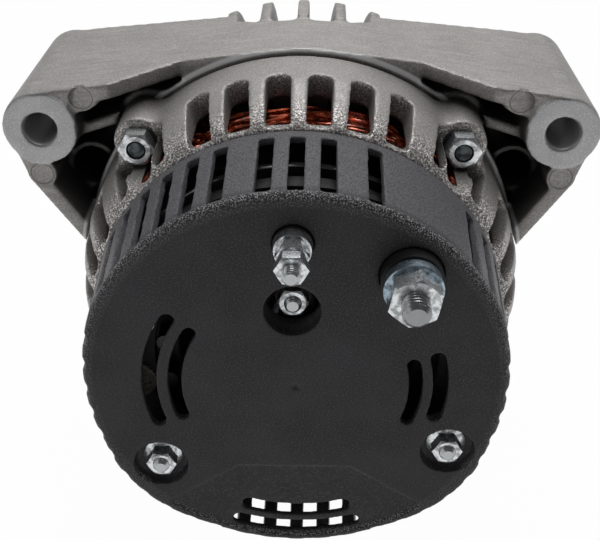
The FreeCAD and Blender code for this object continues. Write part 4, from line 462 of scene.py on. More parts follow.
def tooled_colour(at, base, in_bore):
    """Bright tooled metal with painted sparkle highlights, and painted light that brightens it in a bore."""
    patch, dull, sparkle, strength, painted_sparkle_tone, painted_bore_light_tone = 6 * MM, 0.88, 0.5 * MM, 0.6, 1.7, 1.3
    cloud = noise(at, patch)
    painted_spark = spread(noise(at, sparkle), *SPARKS, 0, strength)
    bright = mix(spread(cloud, *CLOUDY), tone(base, dull), base)
    # Painted highlights: sparks lightened into the tooled colour
    bright = mix(painted_spark, bright, tone(base, painted_sparkle_tone))
    # Painted light inside the bore
    return mix(in_bore, bright, tone(base, painted_bore_light_tone))


def seam_highlight(at, along):
    """A painted highlight on the drive end casting's rear rim, where it meets the stator's seat."""
    rim_radius, rim_width, depth, setback = 74.0 * MM, 1.2 * MM, 0.5 * MM, 1.9 * MM
    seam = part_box("rear_bracket")[1].y + setback
    rim = ring_mask(axis_distance(at, 0, SHAFT_Z), rim_radius, rim_width)
    return product(spread(along, seam, seam - depth), rim)


def drive_casting_skin():
    """The smoother drive end casting, with faced ear bosses and bored holes."""
    look = looks().casting
    made, shader, at = surface("faced_casting", look.colour, CAST_METALLIC, look.roughness)
    along = part_of(at, "Y")
    away = axis_distance(at, EAR_X, 0)
    from_middle = maths("ABSOLUTE", maths("SUBTRACT", along, EAR_MID_Y))
    faced = product(spread(from_middle, *BOSS_END), spread(away, *BOSS_RING))
    bored = spread(away, *BOSS_BORE)
    machined = larger(faced, bored)
    base_colour, _, speck = cast_skin(at, look.colour, look.grain)
    base_colour = streaked(at, base_colour, look.colour)
    mark_strength, mark_tone, seam_highlight_tone, tool_depth = 0.75, 0.35, 2.2, 0.06
    cast_gloss, tooled_roughness, tooled_metallic = 0.96, 0.4, 0.75
    marks = product(ejector_marks(at, along), mark_strength)
    base_colour = mix(marks, base_colour, tone(look.colour, mark_tone))
    # Painted shade in the corners and pockets of the drive end casting
    base_colour = with_painted_shade(base_colour, reach=22 * MM, darkest=0.22)
    # Painted highlight along the rear rim's edge
    base_colour = mix(seam_highlight(at, along), base_colour, tone(look.machined, seam_highlight_tone))
    bright = tooled_colour(at, look.machined, maths("SUBTRACT", bored, faced))
    rings = maths("SINE", product(away, 2 * math.pi / TOOL_FEED))
    grain = product(speck, maths("SUBTRACT", 1.0, machined))
    turned = product(rings, product(machined, tool_depth))
    join(
        shader, Base_Color=mix(machined, base_colour, bright),
        Metallic=between(faced, CAST_METALLIC, tooled_metallic),
        Roughness=between(machined, look.roughness * cast_gloss, tooled_roughness),
        Normal=bumped(maths("ADD", grain, turned), look.relief),
    )
    return made


def cover_rim_highlight(at):
    """The band of painted highlight round the edge between the cover's face and its side, strongest where it
    faces up and faint where it faces down.
    """
    inner, full = COVER_HIGH.x - 6.4 * MM, COVER_HIGH.x - 5.4 * MM
    side_end, side_start = COVER_LOW.y + 2.8 * MM, COVER_LOW.y + 1.6 * MM
    down, up, faint = -0.1, 0.6, 0.15
    band = spread(axis_distance(at, 0, SHAFT_Z), inner, full)
    band = product(band, spread(facing(at, "Z"), down, up, faint, 1.0))
    return product(band, spread(part_of(at, "Y"), side_end, side_start))


def cover_skin():
    """Eroded black nylon: even on the face, with painted light making the side paler and painted highlight
    specks round the rim.
    """
    look = looks().cover
    made, shader, at = surface("moulded_nylon", look.colour, 0.0, look.roughness, specular=0.2)
    tones = (0.8, 1.15, 2.4, 2.0, 3.8)
    dull, clear, pale, side_lit_dark, side_lit_pale = (tone(look.colour, factor) for factor in tones)
    patch, rim_speck_width, face_end, side_start = 14 * MM, look.grain * 0.8, 2 * MM, 5 * MM
    dull_grain, bright_grain, rim_relief = 1.15, 0.8, 3
    speck = noise(at, look.grain)
    cloud = noise(at, patch)
    grained = mix(spread(cloud, *CLOUDY), dull, clear)
    grained = mix(spread(speck, *PALE_GRAINS), grained, pale)
    # Painted light: the cover's side is paler than its face
    lit_side = spread(part_of(at, "Y"), COVER_LOW.y + face_end, COVER_LOW.y + side_start)
    side = mix(spread(speck, *SHARP), side_lit_dark, side_lit_pale)
    grained = mix(lit_side, grained, side)
    rim = cover_rim_highlight(at)
    scratch = spread(noise(at, rim_speck_width, detail=1), *RIM_HIGHLIGHT_SPECKS)
    # The rim gets painted highlight specks
    join(
        shader, Base_Color=mix(product(rim, scratch), grained, look.scuffed),
        Roughness=spread(speck, *SPECKLED, look.roughness * dull_grain, look.roughness * bright_grain),
        Normal=bumped(product(speck, between(rim, 1, rim_relief)), look.relief * 2),
    )
    return made


def plated(name, base, roughness, flank_shade=1.0):
    """Bright plating with stains and fine scratches; the flank tone is painted shade on faces that look along
    the stud.
    """
    stain, stain_tone, scratch, scratch_depth = 1.6 * MM, 0.42, 0.35 * MM, 0.018 * MM
    across, square_on, low, high, glossy, dull = 0.3, 0.7, 0.35, 0.7, 0.8, 1.5
    made, shader, at = surface(name, base, 0.9, roughness)
    cloud = noise(at, stain, detail=3)
    fine = noise(at, scratch)
    stained = mix(spread(cloud, *STAINS), base, tone(base, stain_tone))
    # Painted shade on faces that look along the stud
    if flank_shade < 1:
        along = maths("ABSOLUTE", facing(at, "Y"))
        stained = mix(spread(along, across, square_on), stained, tone(base, flank_shade))
    join(
        shader, Base_Color=stained,
        Roughness=spread(cloud, low, high, roughness * glossy, roughness * dull),
        Normal=bumped(fine, scratch_depth),
    )
    return made


def patchy(name, base, metallic, roughness, patch, grain, tones, gloss, relief,
           detail=2, edges=CLOUDY, drawn=(1, 1, 1), **shine):
    """A finish with soft patches between two tones of its colour, and a grain in its gloss and height."""
    made, shader, at = surface(name, base, metallic, roughness, **shine)
    cloud = spread(noise(at, patch, detail), *edges)
    fine = noise(vectors("MULTIPLY", at, drawn), grain)
    dark, light = (tone(base, factor) for factor in tones)
    join(
        shader, Base_Color=mix(cloud, dark, light),
        Roughness=spread(fine, *SPECKLED, *(roughness * factor for factor in gloss)),
        Normal=bumped(fine, relief),
    )
    return made


def turned_metal(name, base, roughness, mark=0.4 * MM):
    """Turned steel: marks that run round the shaft."""
    return patchy(
        name, base, 1.0, roughness, patch=5 * MM, grain=mark, tones=(0.85, 1), gloss=(0.8, 1.3),
        relief=FINE_RELIEF, drawn=(0.05, 1, 0.05),
    )


def coated_steel(name, base, roughness, metallic=0.3):
    """Painted, lacquered or phosphated steel with a fine orange-peel skin."""
    return patchy(
        name, base, metallic, roughness, patch=9 * MM, grain=0.6 * MM, tones=(1, 1.7), gloss=(0.85, 1.15),
        relief=MOULDED_RELIEF, detail=3, edges=(0.35, 0.7),
    )


def enamelled_wire(name, base):
    """Varnished copper wire, darker where the varnish has run together."""
    return patchy(
        name, base, 0.8, 0.25, patch=3 * MM, grain=0.4 * MM, tones=(0.28, 1), gloss=(0.8, 1.52),
        relief=FINE_RELIEF, edges=(0.38, 0.6), coat=1.0,
    )


def plain_moulding(name, base, roughness=0.5):
    """A plain moulded or pressed part with a fine dull skin."""
    return patchy(
        name, base, 0.0, roughness, patch=7 * MM, grain=0.5 * MM, tones=(0.85, 1.15), gloss=(1.1, 0.9),
        relief=MOULDED_RELIEF, specular=0.4,
    )


def stacked_steel():
    """The stator's stack of thin sheets."""
    sheet, sheet_relief, drawn = 0.5 * MM, 0.08 * MM, (0.02, 1, 0.02)
    dark, light = (0.05, 0.048, 0.046), (0.16, 0.155, 0.15)
    made, shader, at = surface("stacked_sheet_steel", (0.10, 0.098, 0.095), 0.8, 0.5)
    sheets = noise(vectors("MULTIPLY", at, drawn), sheet, detail=0)
    join(
        shader, Base_Color=mix(spread(sheets, *SHARP), dark, light),
        Normal=bumped(sheets, sheet_relief),
    )
    return made


def shaded_plate_with_glint():
    """The negative plate, painted dark as shade, with a broken painted glint along the middle of its sheared
    edge.
    """
    dark, dull, glint_colour = (0.035, 0.035, 0.037), (0.06, 0.06, 0.062), (0.9, 0.9, 0.9)
    patch, glint_run, glint_edge, glint_core = 3 * MM, 5 * MM, 0.5 * MM, 0.3 * MM
    rear_share, torn, whole_glint = 0.65, 0.45, 0.55
    made, shader, at = surface("shade_dark_sheared_plate", (0.05, 0.05, 0.052), 0.6, 0.5)
    low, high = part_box("negative_heat_sink")
    middle = low.y * rear_share + high.y * (1 - rear_share)
    off = maths("ABSOLUTE", maths("SUBTRACT", part_of(at, "Y"), middle))
    broken = spread(noise(at, glint_run, detail=1), torn, whole_glint)
    glint_line = product(spread(off, glint_edge, glint_core), broken)
    cloud = noise(at, patch)
    sheet = mix(spread(cloud, *CLOUDY), dark, dull)
    # Painted glint line on a plate painted dark as shade
    join(shader, Base_Color=mix(glint_line, sheet, glint_colour), Normal=bumped(cloud, FINE_RELIEF))
    return made


def dress(material, *nodes):
    """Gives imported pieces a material; their own meshes and places stay as they are."""
    for name in nodes:
        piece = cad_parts[name]
        for slot in piece.material_slots:
            slot.material = material
        if not piece.material_slots:
            piece.data.materials.append(material)


# Meshes


def in_scene(name, data):
    made = bpy.data.objects.new(name, data)
    bpy.context.scene.collection.objects.link(made)
    return made


def finished(name, mesh_or_bm, material, body):
    """Makes an object that rides on a body."""
    mesh = mesh_or_bm
    if isinstance(mesh_or_bm, bmesh.types.BMesh):
        mesh = bpy.data.meshes.new(name)
        bmesh.ops.recalc_face_normals(mesh_or_bm, faces=mesh_or_bm.faces)
        mesh_or_bm.to_mesh(mesh)
        mesh_or_bm.free()
    mesh.name = name
    mesh.materials.clear()
    mesh.materials.append(material)
    mesh.shade_smooth()
    mesh.set_sharp_from_angle(angle=SMOOTH_ANGLE)
    made = in_scene(name, mesh)
    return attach(made, body)


def applied(made):
    """The mesh with all of the object's modifiers in it."""
    graph = bpy.context.evaluated_depsgraph_get()
    mesh = bpy.data.meshes.new_from_object(made.evaluated_get(graph))
    bpy.data.objects.remove(made)
    return mesh


def softened(node, voxel, passes, kept):
    """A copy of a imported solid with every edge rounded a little, as a mould leaves it."""
    copy = in_scene(node + "_work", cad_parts[node].data.copy())
    remesh = copy.modifiers.new("skin", "REMESH")
    remesh.mode = "VOXEL"
    remesh.voxel_size = voxel
    soften = copy.modifiers.new("soften", "SMOOTH")
    soften.factor = 0.5
    soften.iterations = passes
    thin = copy.modifiers.new("thin", "DECIMATE")
    thin.ratio = kept
    return applied(copy)


def solids(node):
    """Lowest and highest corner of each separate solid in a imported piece."""
    work = bmesh.new()
    work.from_mesh(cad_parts[node].data)
    bmesh.ops.remove_doubles(work, verts=work.verts, dist=MERGE_DISTANCE)
    left = set(work.verts)
    found = []
    while left:
        wave = [left.pop()]
        solid = list(wave)
        while wave:
            near = {edge.other_vert(vert) for vert in wave for edge in vert.link_edges} & left
            left -= near
            wave = list(near)
            solid += wave
        low = Vector([min(vert.co[axis] for vert in solid) for axis in range(3)])
        high = Vector([max(vert.co[axis] for vert in solid) for axis in range(3)])
        found.append((low, high))
    work.free()
    return sorted(found, key=lambda pair: tuple(pair[0]))


def ring_points(bm, radius, y, x, z, count):
    """A ring of points about an axis along Y; radius is a number or a rule that gives radius and rise."""
    made = []
    for k in range(count):
        angle = 2 * math.pi * k / count
        out, rise = radius(angle) if callable(radius) else (radius, 0.0)
        made.append(bm.verts.new((x + out * math.sin(angle), y + rise, z + out * math.cos(angle))))
    return made


def skin(bm, rings):
    """Joins rings of equal count with quads and closes both ends."""
    for first, second in zip(rings, rings[1:]):
        count = len(first)
        for k in range(count):
            after = (k + 1) % count
            bm.faces.new((first[k], first[after], second[after], second[k]))
    bm.faces.new(rings[0])
    bm.faces.new(list(reversed(rings[-1])))


def add_thread(bm, x, z, tip_y, end_y, radius, pitch, around=28, per_turn=7):
    """A screw thread that starts at its tip with a chamfer."""
    depth_per_pitch, tip_share, chamfer_slope, crest_flat = 0.54, 0.82, 1.1, 1.25
    depth = depth_per_pitch * pitch
    core = radius - depth
    rows = round((end_y - tip_y) / pitch * per_turn)

    def rule(y):
        lead = core * tip_share + (y - tip_y) * chamfer_slope

        def radius_at(angle):
            phase = (y / pitch + angle / (2 * math.pi)) % 1.0
            crest = 1 - abs(2 * phase - 1)
            return min(lead, core + depth * min(1.0, crest * crest_flat)), 0.0

        return radius_at

    rings = []
    for k in range(rows + 1):
        y = tip_y + (end_y - tip_y) * k / rows
        rings.append(ring_points(bm, rule(y), y, x, z, around))
    skin(bm, rings)


def add_hexagon(bm, x, z, y0, y1, flats, chamfer, around=72):
    """A hexagon with the rounded corners that a turned chamfer leaves on both faces."""
    corner = flats / math.sqrt(3)
    past_chamfer, chamfer_angle = 1.4, math.radians(30)
    face_radius = corner - chamfer * past_chamfer
    slope = math.tan(chamfer_angle)

    def side(sign):
        def rule(angle):
            out = flats / 2 / math.cos((angle + math.pi / 6) % (math.pi / 3) - math.pi / 6)
            return out, sign * max(0.0, (out - (corner - chamfer)) * slope)

        return rule

    steps = ((face_radius, y0), (side(1), y0), (side(-1), y1), (face_radius, y1))
    skin(bm, [ring_points(bm, radius, y, x, z, around) for radius, y in steps])


def add_rod(bm, x, z, profile, around=32):
    """A turned solid about an axis along Y from (y, radius) steps."""
    skin(bm, [ring_points(bm, r, y, x, z, around) for y, r in profile])


def add_tube(bm, points, radius, sides=6):
    """A wire along a list of points."""
    rings = []
    side = Vector((0, 0, 1))
    for k, spot in enumerate(points):
        ahead = (points[min(k + 1, len(points) - 1)] - points[max(k - 1, 0)]).normalized()
        side = (side - ahead * side.dot(ahead)).normalized()
        up = ahead.cross(side)
        ring = []
        for s in range(sides):
            angle = 2 * math.pi * s / sides
            ring.append(bm.verts.new(spot + (side * math.cos(angle) + up * math.sin(angle)) * radius))
        rings.append(ring)
    skin(bm, rings)


def around_shaft(radius, angle, y):
    return Vector((radius * math.sin(angle), y, SHAFT_Z + radius * math.cos(angle)))


def ramp(value, over):
    """0 below zero, 1 past over, and straight in between."""
    return min(1.0, max(0.0, value / over))


# Operators, one for each piece or group of like pieces


class ALTERNATOR_OT_castings(Operator):
    """Rounds the cast edges of both end castings and gives them their blasted and faced skins"""

    bl_idname = "alternator.castings"
    bl_label = "Castings"

    def execute(self, context):
        look = looks().casting
        rear = softened("rear_bracket", look.rear_voxel, look.rounding, look.rear_share)
        self.reach_windows(rear, look.window_reach)
        piece = finished("rear_casting", rear, rear_casting_skin(), "housing")
        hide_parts("rear_bracket")
        drive = softened("drive_end_bracket", look.drive_voxel, look.rounding, look.drive_share)
        piece = finished("drive_end_casting", drive, drive_casting_skin(), "housing")
        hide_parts("drive_end_bracket")
        return {"FINISHED"}

    def reach_windows(self, mesh, reach):
        """Draws the lower ends of the rear windows toward the cover, with the joint face left where it is."""
        joint = COVER_HIGH.y
        foot, still = joint + 4.0 * MM, joint + 16.0 * MM
        wall_radius, wall_fade = 54 * MM, 6 * MM
        for vertex in mesh.vertices:
            spot = vertex.co
            if not joint < spot.y < still:
                continue
            away = math.hypot(spot.x, spot.z - SHAFT_Z)
            if spot.y < foot:
                near = (spot.y - joint) / (foot - joint)
            else:
                near = (still - spot.y) / (still - foot)
            spot.y -= reach * ramp(away - wall_radius, wall_fade) * near


class ALTERNATOR_OT_cover(Operator):
    """Softens the moulded cover's edges, shapes its rim and gives it an eroded grain"""

    bl_idname = "alternator.cover"
    bl_label = "Rear cover"

    def execute(self, context):
        look = looks().cover
        mesh = softened("rear_cover", look.voxel, look.rounding, look.mesh_share)
        self.scallop(mesh, look)
        piece = finished("moulded_cover", mesh, cover_skin(), "housing")
        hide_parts("rear_cover")
        return {"FINISHED"}

    def scallop(self, mesh, look):
        """Notches the lower rim where the side slots run over it, draws the rim's sides in and fills out its
        lower corners; angles run from the top of the cover."""
        first_slot = math.radians(20)
        notched_from, notched_to, notched_depth = 1.25, 2.75, 6 * MM
        side_from, side_reach = 1.15, 0.95
        corner_from, corner_reach, corner_share = 1.95, 0.74, 1.8
        band, band_fade, edge, edge_fade = 8 * MM, 5 * MM, 4 * MM, 3 * MM
        notch_flat, notch_slope = 1.5, 2.6
        half_pitch = look.slot_pitch / 2
        for vertex in mesh.vertices:
            spot = vertex.co
            away = math.hypot(spot.x, spot.z - SHAFT_Z)
            angle = abs(math.atan2(spot.x, spot.z - SHAFT_Z))
            inside = COVER_HIGH.x - away
            if inside > band:
                continue
            from_slot = abs((angle - first_slot + half_pitch) % look.slot_pitch - half_pitch)
            notch = ramp(notch_flat - notch_slope * from_slot / half_pitch, 1)
            notch *= ramp(edge - inside, edge_fade)
            on_rim = spot.y < COVER_LOW.y + notched_depth and notched_from < angle < notched_to
            side = math.sin(ramp(angle - side_from, side_reach) * math.pi)
            corner = corner_share * math.sin(ramp(angle - corner_from, corner_reach) * math.pi)
            swell = look.corner_swell * (corner - side) * min(1.0, (band - inside) / band_fade)
            stretch = 1 + (swell - look.scallop * notch * on_rim) / away
            spot.x *= stretch
            spot.z = SHAFT_Z + (spot.z - SHAFT_Z) * stretch


class ALTERNATOR_OT_fasteners(Operator):
    """Plates the nuts, washers and screws"""

    bl_idname = "alternator.fasteners"
    bl_label = "Nuts and washers"

    def execute(self, context):
        look = looks().fastener
        zinc = plated("bright_zinc", look.zinc, look.roughness)
        dress(
            zinc, "through_bolt_nuts", "cover_nuts", "regulator_screws", "rectifier_screw", "retainer_screws",
            "d_plus_nuts", "w_nut", "b_plus_nut", "pulley_nut",
        )
        self.output_washer(plated("blue_zinc", look.washer, look.roughness))
        dress(turned_metal("brass_tube", (0.62, 0.45, 0.20), roughness=0.35), "b_plus_sleeve")
        return {"FINISHED"}

    def output_washer(self, material):
        """The blue washer under the output nut, with the raised rim that stands round the nut's foot."""
        low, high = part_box("b_plus_washer")
        middle = (low + high) / 2
        radius = (high.x - low.x) / 2
        break_edge, rim_round, rim_height = 0.2 * MM, 0.3 * MM, 2.0 * MM
        bm = bmesh.new()
        steps = [
            (high.y, radius - break_edge), (high.y - break_edge, radius),
            (low.y - rim_height + rim_round, radius), (low.y - rim_height, radius - rim_round),
        ]
        add_rod(bm, middle.x, middle.z, steps, around=72)
        piece = finished("output_washer", bm, material, "housing")
        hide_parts("b_plus_washer")


class ALTERNATOR_OT_threads(Operator):
    """Cuts real threads on the studs and through bolts"""

    bl_idname = "alternator.threads"
    bl_label = "Threaded studs and bolts"

    def execute(self, context):
        look = looks().fastener
        coarse = plated("bright_zinc_thread", look.zinc, look.roughness, flank_shade=0.38)
        fine = plated("bright_zinc_small_thread", look.zinc, look.roughness, flank_shade=0.6)
        shank_share, overlap, edge = 0.97, 0.5 * MM, 0.6 * MM
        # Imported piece, new name, pitch, radius, head across flats, head height, threaded length
        studs = (
            ("b_plus_stud", "output_stud", look.m8_pitch, 3.85 * MM, 13 * MM, 5.0 * MM, 24 * MM),
            ("d_plus_stud", "lamp_stud", look.m5_pitch, 2.45 * MM, 8 * MM, 1.8 * MM, 22 * MM),
            ("w_stud", "phase_stud", look.m5_pitch, 2.45 * MM, 0, 0, 8 * MM),
            ("cover_studs", "cover_stud_pair", look.m5_pitch, 2.45 * MM, 0, 0, 14 * MM),
            ("through_bolts", "through_bolt_set", look.m6_pitch, 3.0 * MM, 10 * MM, 4.2 * MM, 18 * MM),
        )
        for node, name, pitch, radius, flats, head, threaded in studs:
            bm = bmesh.new()
            for low, high in solids(node):
                x, z = (low.x + high.x) / 2, (low.z + high.z) / 2
                end = min(high.y, low.y + threaded)
                shank = radius * shank_share
                add_thread(bm, x, z, low.y, end, radius, pitch)
                if end < high.y - head:
                    add_rod(bm, x, z, [(end - overlap, shank), (high.y - head / 2, shank)])
                if head:
                    add_hexagon(bm, x, z, high.y - head, high.y, flats, edge)
            piece = finished(name, bm, coarse if node == "b_plus_stud" else fine, "housing")
            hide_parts(node)
        self.bolt_ends(look)
        return {"FINISHED"}

    def bolt_ends(self, look):
        """The cut ends of the through bolts, darker than their plating."""
        cut = plated("cut_bolt_end", look.bolt_end, roughness=0.4)
        tip, tip_radius, depth, full_radius = 0.02 * MM, 2.5 * MM, 0.7 * MM, 2.95 * MM
        bm = bmesh.new()
        for low, high in solids("through_bolts"):
            middle = (low + high) / 2
            add_rod(bm, middle.x, middle.z, [(low.y - tip, tip_radius), (low.y + depth, full_radius)])
        piece = finished("bolt_end_faces", bm, cut, "housing")


class ALTERNATOR_OT_windings(Operator):
    """Winds the stator: bundles of enamelled wire that step from slot to slot at both ends"""

    bl_idname = "alternator.windings"
    bl_label = "Stator winding"

    def execute(self, context):
        look = looks().winding
        copper = enamelled_wire("enamelled_copper", look.colour)
        low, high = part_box("stator_core")
        dice = random.Random(look.seed)
        self.overhang("winding_end_rear", low.y, -1, look.rear_height, copper, dice)
        self.overhang("winding_end_front", high.y, 1, look.front_height, copper, dice)
        self.legs(low.y, high.y, copper)
        return {"FINISHED"}

    def overhang(self, name, face_y, direction, height, copper, dice):
        """One wound end: every bundle rises from its slot, flares out, steps over and comes down again."""
        look = looks().winding
        step = 2 * math.pi / look.slots
        wire = look.wire / 2
        leg_share, phases, layer_step, strand_step = 0.35, 3, wire * 2.4, wire * 1.3
        leg_radius = look.inner_radius + (look.outer_radius - look.inner_radius) * leg_share
        lowest_share, height_share, most_lean, most_tilt, waver = 0.36, 0.60, 0.8, 2.4, 0.05
        bends, squareness, peak, flare_from, in_slot = 20, 0.45, 1.02, 0.45, 1.0 * MM
        strand_room, spill = (0.1, 0.9), (-0.6, 0.5)
        bm = bmesh.new()
        for slot in range(look.slots):
            layer = look.outer_radius - wire - (slot % phases) * layer_step
            for strand in range(look.strands):
                share_up = (strand + dice.uniform(*strand_room)) / look.strands
                rise = height * (lowest_share + height_share * share_up)
                over = layer - (strand % 2) * strand_step + dice.uniform(*spill) * MM
                lean = dice.uniform(-most_lean, most_lean) * step
                tilt = dice.uniform(-most_tilt, most_tilt) * MM
                points = []
                for k in range(bends + 1):
                    t = k / bends
                    ease = t * t * (3 - 2 * t)
                    arch = math.sin(math.pi * t)
                    lift = min(1.0, arch ** squareness * peak)
                    angle = (slot + look.span * ease) * step + lean * arch
                    flare = max(0.0, (lift - flare_from) / (1 - flare_from))
                    radius = leg_radius + (over - leg_radius) * flare + dice.uniform(-waver, waver) * MM
                    radius = min(max(radius, look.inner_radius + wire), look.outer_radius - wire)
                    along = min(rise * lift + tilt * math.sin(2 * math.pi * t), height - wire)
                    points.append(around_shaft(radius, angle, face_y + direction * (along - in_slot)))
                add_tube(bm, points, wire)
        piece = finished(name, bm, copper, "housing")

    def legs(self, rear_y, front_y, copper):
        """The straight wires in the slots, and the three phase leads that run on to the rectifier."""
        look = looks().winding
        wire = look.wire / 2
        rows, row_step, side_step = 8, 1.2 * MM, wire * 1.05
        bm = bmesh.new()
        for slot in range(look.slots):
            angle = 2 * math.pi * slot / look.slots
            for row in range(rows):
                for side in (-1, 1):
                    radius = look.inner_radius + wire + row * row_step
                    across = angle + side * side_step / radius
                    add_tube(bm, [around_shaft(radius, across, y) for y in (rear_y, front_y)], wire)
        lead_circle, lead_radius, lead_end = 53.8 * MM, 1.0 * MM, rear_y - 12 * MM
        lead_angles = (150, -150, 155)
        for degrees in lead_angles:
            spot = around_shaft(lead_circle, math.radians(degrees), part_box("stator_windings")[0].y)
            add_rod(bm, spot.x, spot.z, [(lead_end, lead_radius), (spot.y, lead_radius)])
        piece = finished("winding_legs", bm, copper, "housing")
        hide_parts("stator_windings")


class ALTERNATOR_OT_brush_springs(Operator):
    """Coils the two brush springs"""

    bl_idname = "alternator.brush_springs"
    bl_label = "Brush springs"

    def execute(self, context):
        steel = turned_metal("spring_wire", (0.45, 0.45, 0.46), roughness=0.3)
        wire, coil, gap, turns, per_turn = 0.3 * MM, 1.65 * MM, 0.1 * MM, 6, 16
        bends = turns * per_turn
        for side in ("inner", "outer"):
            node = side + "_brush_spring"
            low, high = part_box(node)
            middle = (low + high) / 2
            bm = bmesh.new()
            points = []
            for k in range(bends + 1):
                t = k / bends
                angle = 2 * math.pi * turns * t
                z = low.z + wire + (high.z - low.z - 2 * wire) * t
                x, y = middle.x + coil * math.cos(angle), middle.y + coil * math.sin(angle)
                points.append(Vector((x, y, z)))
            add_tube(bm, points, wire)
            piece = finished(side + "_spring_coil", bm, steel, "housing")
            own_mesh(piece)
            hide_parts(node)
        return {"FINISHED"}


class ALTERNATOR_OT_inner_parts(Operator):
    """Finishes the rotor, bearings, rectifier and brush gear"""

    bl_idname = "alternator.inner_parts"
    bl_label = "Inner parts"

    def execute(self, context):
        self.rotor_and_bearings()
        self.rectifier_and_brush_gear()
        dress(stacked_steel(), "stator_core")
        dress(plain_moulding("slot_paper", (0.07, 0.055, 0.04), roughness=0.8), "slot_liners")
        return {"FINISHED"}

    def rotor_and_bearings(self):
        turned = turned_metal("turned_steel", (0.45, 0.45, 0.455), roughness=0.32)
        ground = turned_metal("ground_steel", (0.62, 0.62, 0.63), roughness=0.15, mark=0.2 * MM)
        pressed = turned_metal("pressed_shield", (0.42, 0.42, 0.43), roughness=0.35)
        cage = plain_moulding("nylon_cage", (0.55, 0.50, 0.38))
        for end in ("front", "rear"):
            bearing = end + "_bearing_"
            dress(ground, bearing + "outer_race", bearing + "inner_race", bearing + "balls")
            dress(pressed, bearing + "shields")
            dress(cage, bearing + "cage")
        dress(turned, "rotor_shaft", "rotor_spacer", "pulley_spacer", "bearing_retainer")
        pole = coated_steel("lacquered_pole", (0.05, 0.05, 0.052), roughness=0.45, metallic=0.5)
        dress(pole, "front_claw_pole", "rear_claw_pole")
        dress(coated_steel("coated_fan", (0.035, 0.035, 0.038), roughness=0.4), "front_fan", "rear_fan")
        dress(coated_steel("phosphated_pulley", (0.03, 0.03, 0.032), roughness=0.38, metallic=0.5), "pulley")
        dress(plain_moulding("natural_nylon", (0.35, 0.29, 0.19)), "field_bobbin")
        dress(enamelled_wire("field_wire", (0.55, 0.16, 0.06)), "field_coil")
        copper = turned_metal("slip_ring_copper", (0.70, 0.34, 0.18), roughness=0.25, mark=0.2 * MM)
        dress(copper, "slip_rings")

    def rectifier_and_brush_gear(self):
        black = plain_moulding("glass_filled_moulding", (0.012, 0.012, 0.013))
        dress(black, "b_plus_insulator", "d_plus_insulator", "brush_holder", "regulator", "diode_board")
        dress(black, "rectifier_spacers", "slip_ring_hub")
        dress(shaded_plate_with_glint(), "negative_heat_sink")
        # The positive heat sink is painted near-black as shade inside the cover
        dress(coated_steel("shade_dark_plate", (0.012, 0.012, 0.013), roughness=0.6), "positive_heat_sink")
        dress(plated("nickel_cup", (0.50, 0.47, 0.40), roughness=0.3), "positive_diodes", "negative_diodes")
        dress(plain_moulding("moulded_diode", (0.01, 0.01, 0.01), roughness=0.3), "exciter_diodes")
        carbon = plain_moulding("brush_carbon", (0.03, 0.028, 0.027), roughness=0.6)
        dress(carbon, "inner_brush", "outer_brush")


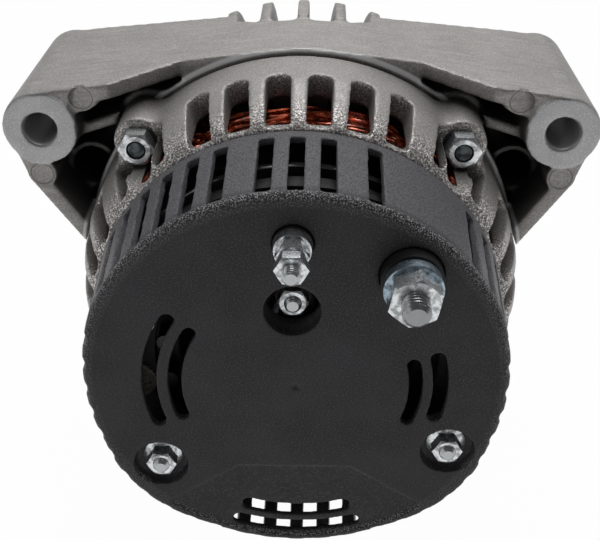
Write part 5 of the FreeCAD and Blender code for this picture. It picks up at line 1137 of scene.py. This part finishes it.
class ALTERNATOR_OT_stage(Operator):
    """Sets the pale floor, the soft lamps and the camera at the photograph's angle"""

    bl_idname = "alternator.stage"
    bl_label = "Stage"

    def execute(self, context):
        look = looks().studio
        self.floor(look)
        self.sky(look)
        # Name, place, what it points at, width, power
        lamps = (
            ("key_lamp", (0.04, 0.62, 0.85), (0, 0.02, -0.02), 0.6, look.key),
            ("top_lamp", (0.05, -0.05, 0.95), (0, 0, -0.05), 0.5, look.key * 0.6),
            ("left_lamp", (-0.85, -0.65, 0.25), (-0.03, 0, -0.03), 0.5, look.fill),
            ("right_lamp", (0.95, 0.25, 0.2), (0.03, 0, -0.03), 0.4, look.fill * 0.6),
        )
        for name, where, target, size, power in lamps:
            self.lamp(name, where, target, size, power)
        self.camera(look)
        context.scene.view_settings.view_transform = "Standard"
        return {"FINISHED"}

    def floor(self, look):
        """A pale floor that keeps the shadow and is white where a camera or a reflection sees it."""
        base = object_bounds()[0].z
        half, whiteness, grain = 4.0, 0.98, 3 * MM
        bm = bmesh.new()
        corners = [(-half, -half), (half, -half), (half, half), (-half, half)]
        bm.faces.new([bm.verts.new((x, y, base)) for x, y in corners])
        mesh = bpy.data.meshes.new("floor")
        bm.to_mesh(mesh)
        bm.free()
        made, shader, at = surface("pale_floor", look.floor, metallic=0.0, roughness=0.9, specular=0.0)
        join(shader, Normal=bumped(noise(at, grain), FINE_RELIEF))
        tree = made.node_tree
        glow = new_node(tree, "Emission", None, Color=(1, 1, 1, 1), Strength=1.0).outputs["Emission"]
        path = new_node(tree, "LightPath")
        seen = larger(path.outputs["Is Camera Ray"], path.outputs["Is Glossy Ray"])
        seen = larger(seen, path.outputs["Is Transmission Ray"])
        plain = shader.outputs["BSDF"]
        blend = new_node(tree, "MixShader", None, _0=product(seen, whiteness), _1=plain, _2=glow)
        tree.links.new(blend.outputs["Shader"], tree.nodes["Material Output"].inputs["Surface"])
        mesh.materials.append(made)
        floor = in_scene("floor", mesh)
        floor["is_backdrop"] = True

    def sky(self, look):
        """An even pale light, stronger from the wall behind the alternator, and white to the camera."""
        world = bpy.data.worlds.new("studio_sky")
        world.use_nodes = True
        bpy.context.scene.world = world
        tree = world.node_tree
        path = new_node(tree, "LightPath")
        seen = larger(path.outputs["Is Camera Ray"], path.outputs["Is Transmission Ray"])
        towards = new_node(tree, "TexCoord").outputs["Generated"]
        wall_side, wall_middle, wall_foot, wall_top = 0.0, 0.5, -0.1, 0.3
        behind = spread(part_of(towards, "Y"), wall_side, wall_middle)
        above = spread(part_of(towards, "Z"), wall_foot, wall_top)
        around = between(product(behind, above), look.sky, look.backdrop)
        background = tree.nodes["Background"]
        background.inputs["Color"].default_value = (1, 1, 1, 1)
        tree.links.new(larger(around, seen), background.inputs["Strength"])

    def lamp(self, name, where, target, size, power):
        data = bpy.data.lights.new(name, "AREA")
        data.shape = "SQUARE"
        data.size = size
        data.energy = power
        made = in_scene(name, data)
        made.location = where
        made.rotation_euler = (Vector(target) - Vector(where)).to_track_quat("-Z", "Y").to_euler()

    def camera(self, look):
        data = bpy.data.cameras.new("camera")
        data.lens = look.lens
        data.sensor_width = SENSOR_WIDTH_MM
        data.clip_start = 10 * MM
        made = in_scene("camera", data)
        made.location = look.camera_place
        made.rotation_euler = (math.pi / 2 - look.camera_tilt, 0, look.camera_turn)
        bpy.context.scene.camera = made


class ALTERNATOR_PT_looks(Panel):
    """Lists the steps that dress the alternator"""

    bl_idname = "ALTERNATOR_PT_looks"
    bl_label = "Alternator"
    bl_space_type = "VIEW_3D"
    bl_region_type = "UI"
    bl_category = "Alternator"

    def draw(self, context):
        for step in STEPS:
            self.layout.operator(step.bl_idname)


STEPS = (
    ALTERNATOR_OT_castings,
    ALTERNATOR_OT_cover,
    ALTERNATOR_OT_fasteners,
    ALTERNATOR_OT_threads,
    ALTERNATOR_OT_windings,
    ALTERNATOR_OT_brush_springs,
    ALTERNATOR_OT_inner_parts,
    ALTERNATOR_OT_stage,
)
GROUPS = (CastingLooks, CoverLooks, FastenerLooks, WindingLooks, StudioLooks, AlternatorLooks)
CLASSES = (*GROUPS, *STEPS, ALTERNATOR_PT_looks)


def register():
    for each in CLASSES:
        bpy.utils.register_class(each)
    bpy.types.Scene.alternator_looks = PointerProperty(type=AlternatorLooks)


def unregister():
    del bpy.types.Scene.alternator_looks
    for each in reversed(CLASSES):
        bpy.utils.unregister_class(each)


def main():
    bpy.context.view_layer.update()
    register()
    bpy.ops.alternator.castings()
    bpy.ops.alternator.cover()
    bpy.ops.alternator.fasteners()
    bpy.ops.alternator.threads()
    bpy.ops.alternator.windings()
    bpy.ops.alternator.brush_springs()
    bpy.ops.alternator.inner_parts()
    bpy.ops.alternator.stage()


if __name__ == "__main__":
    main()
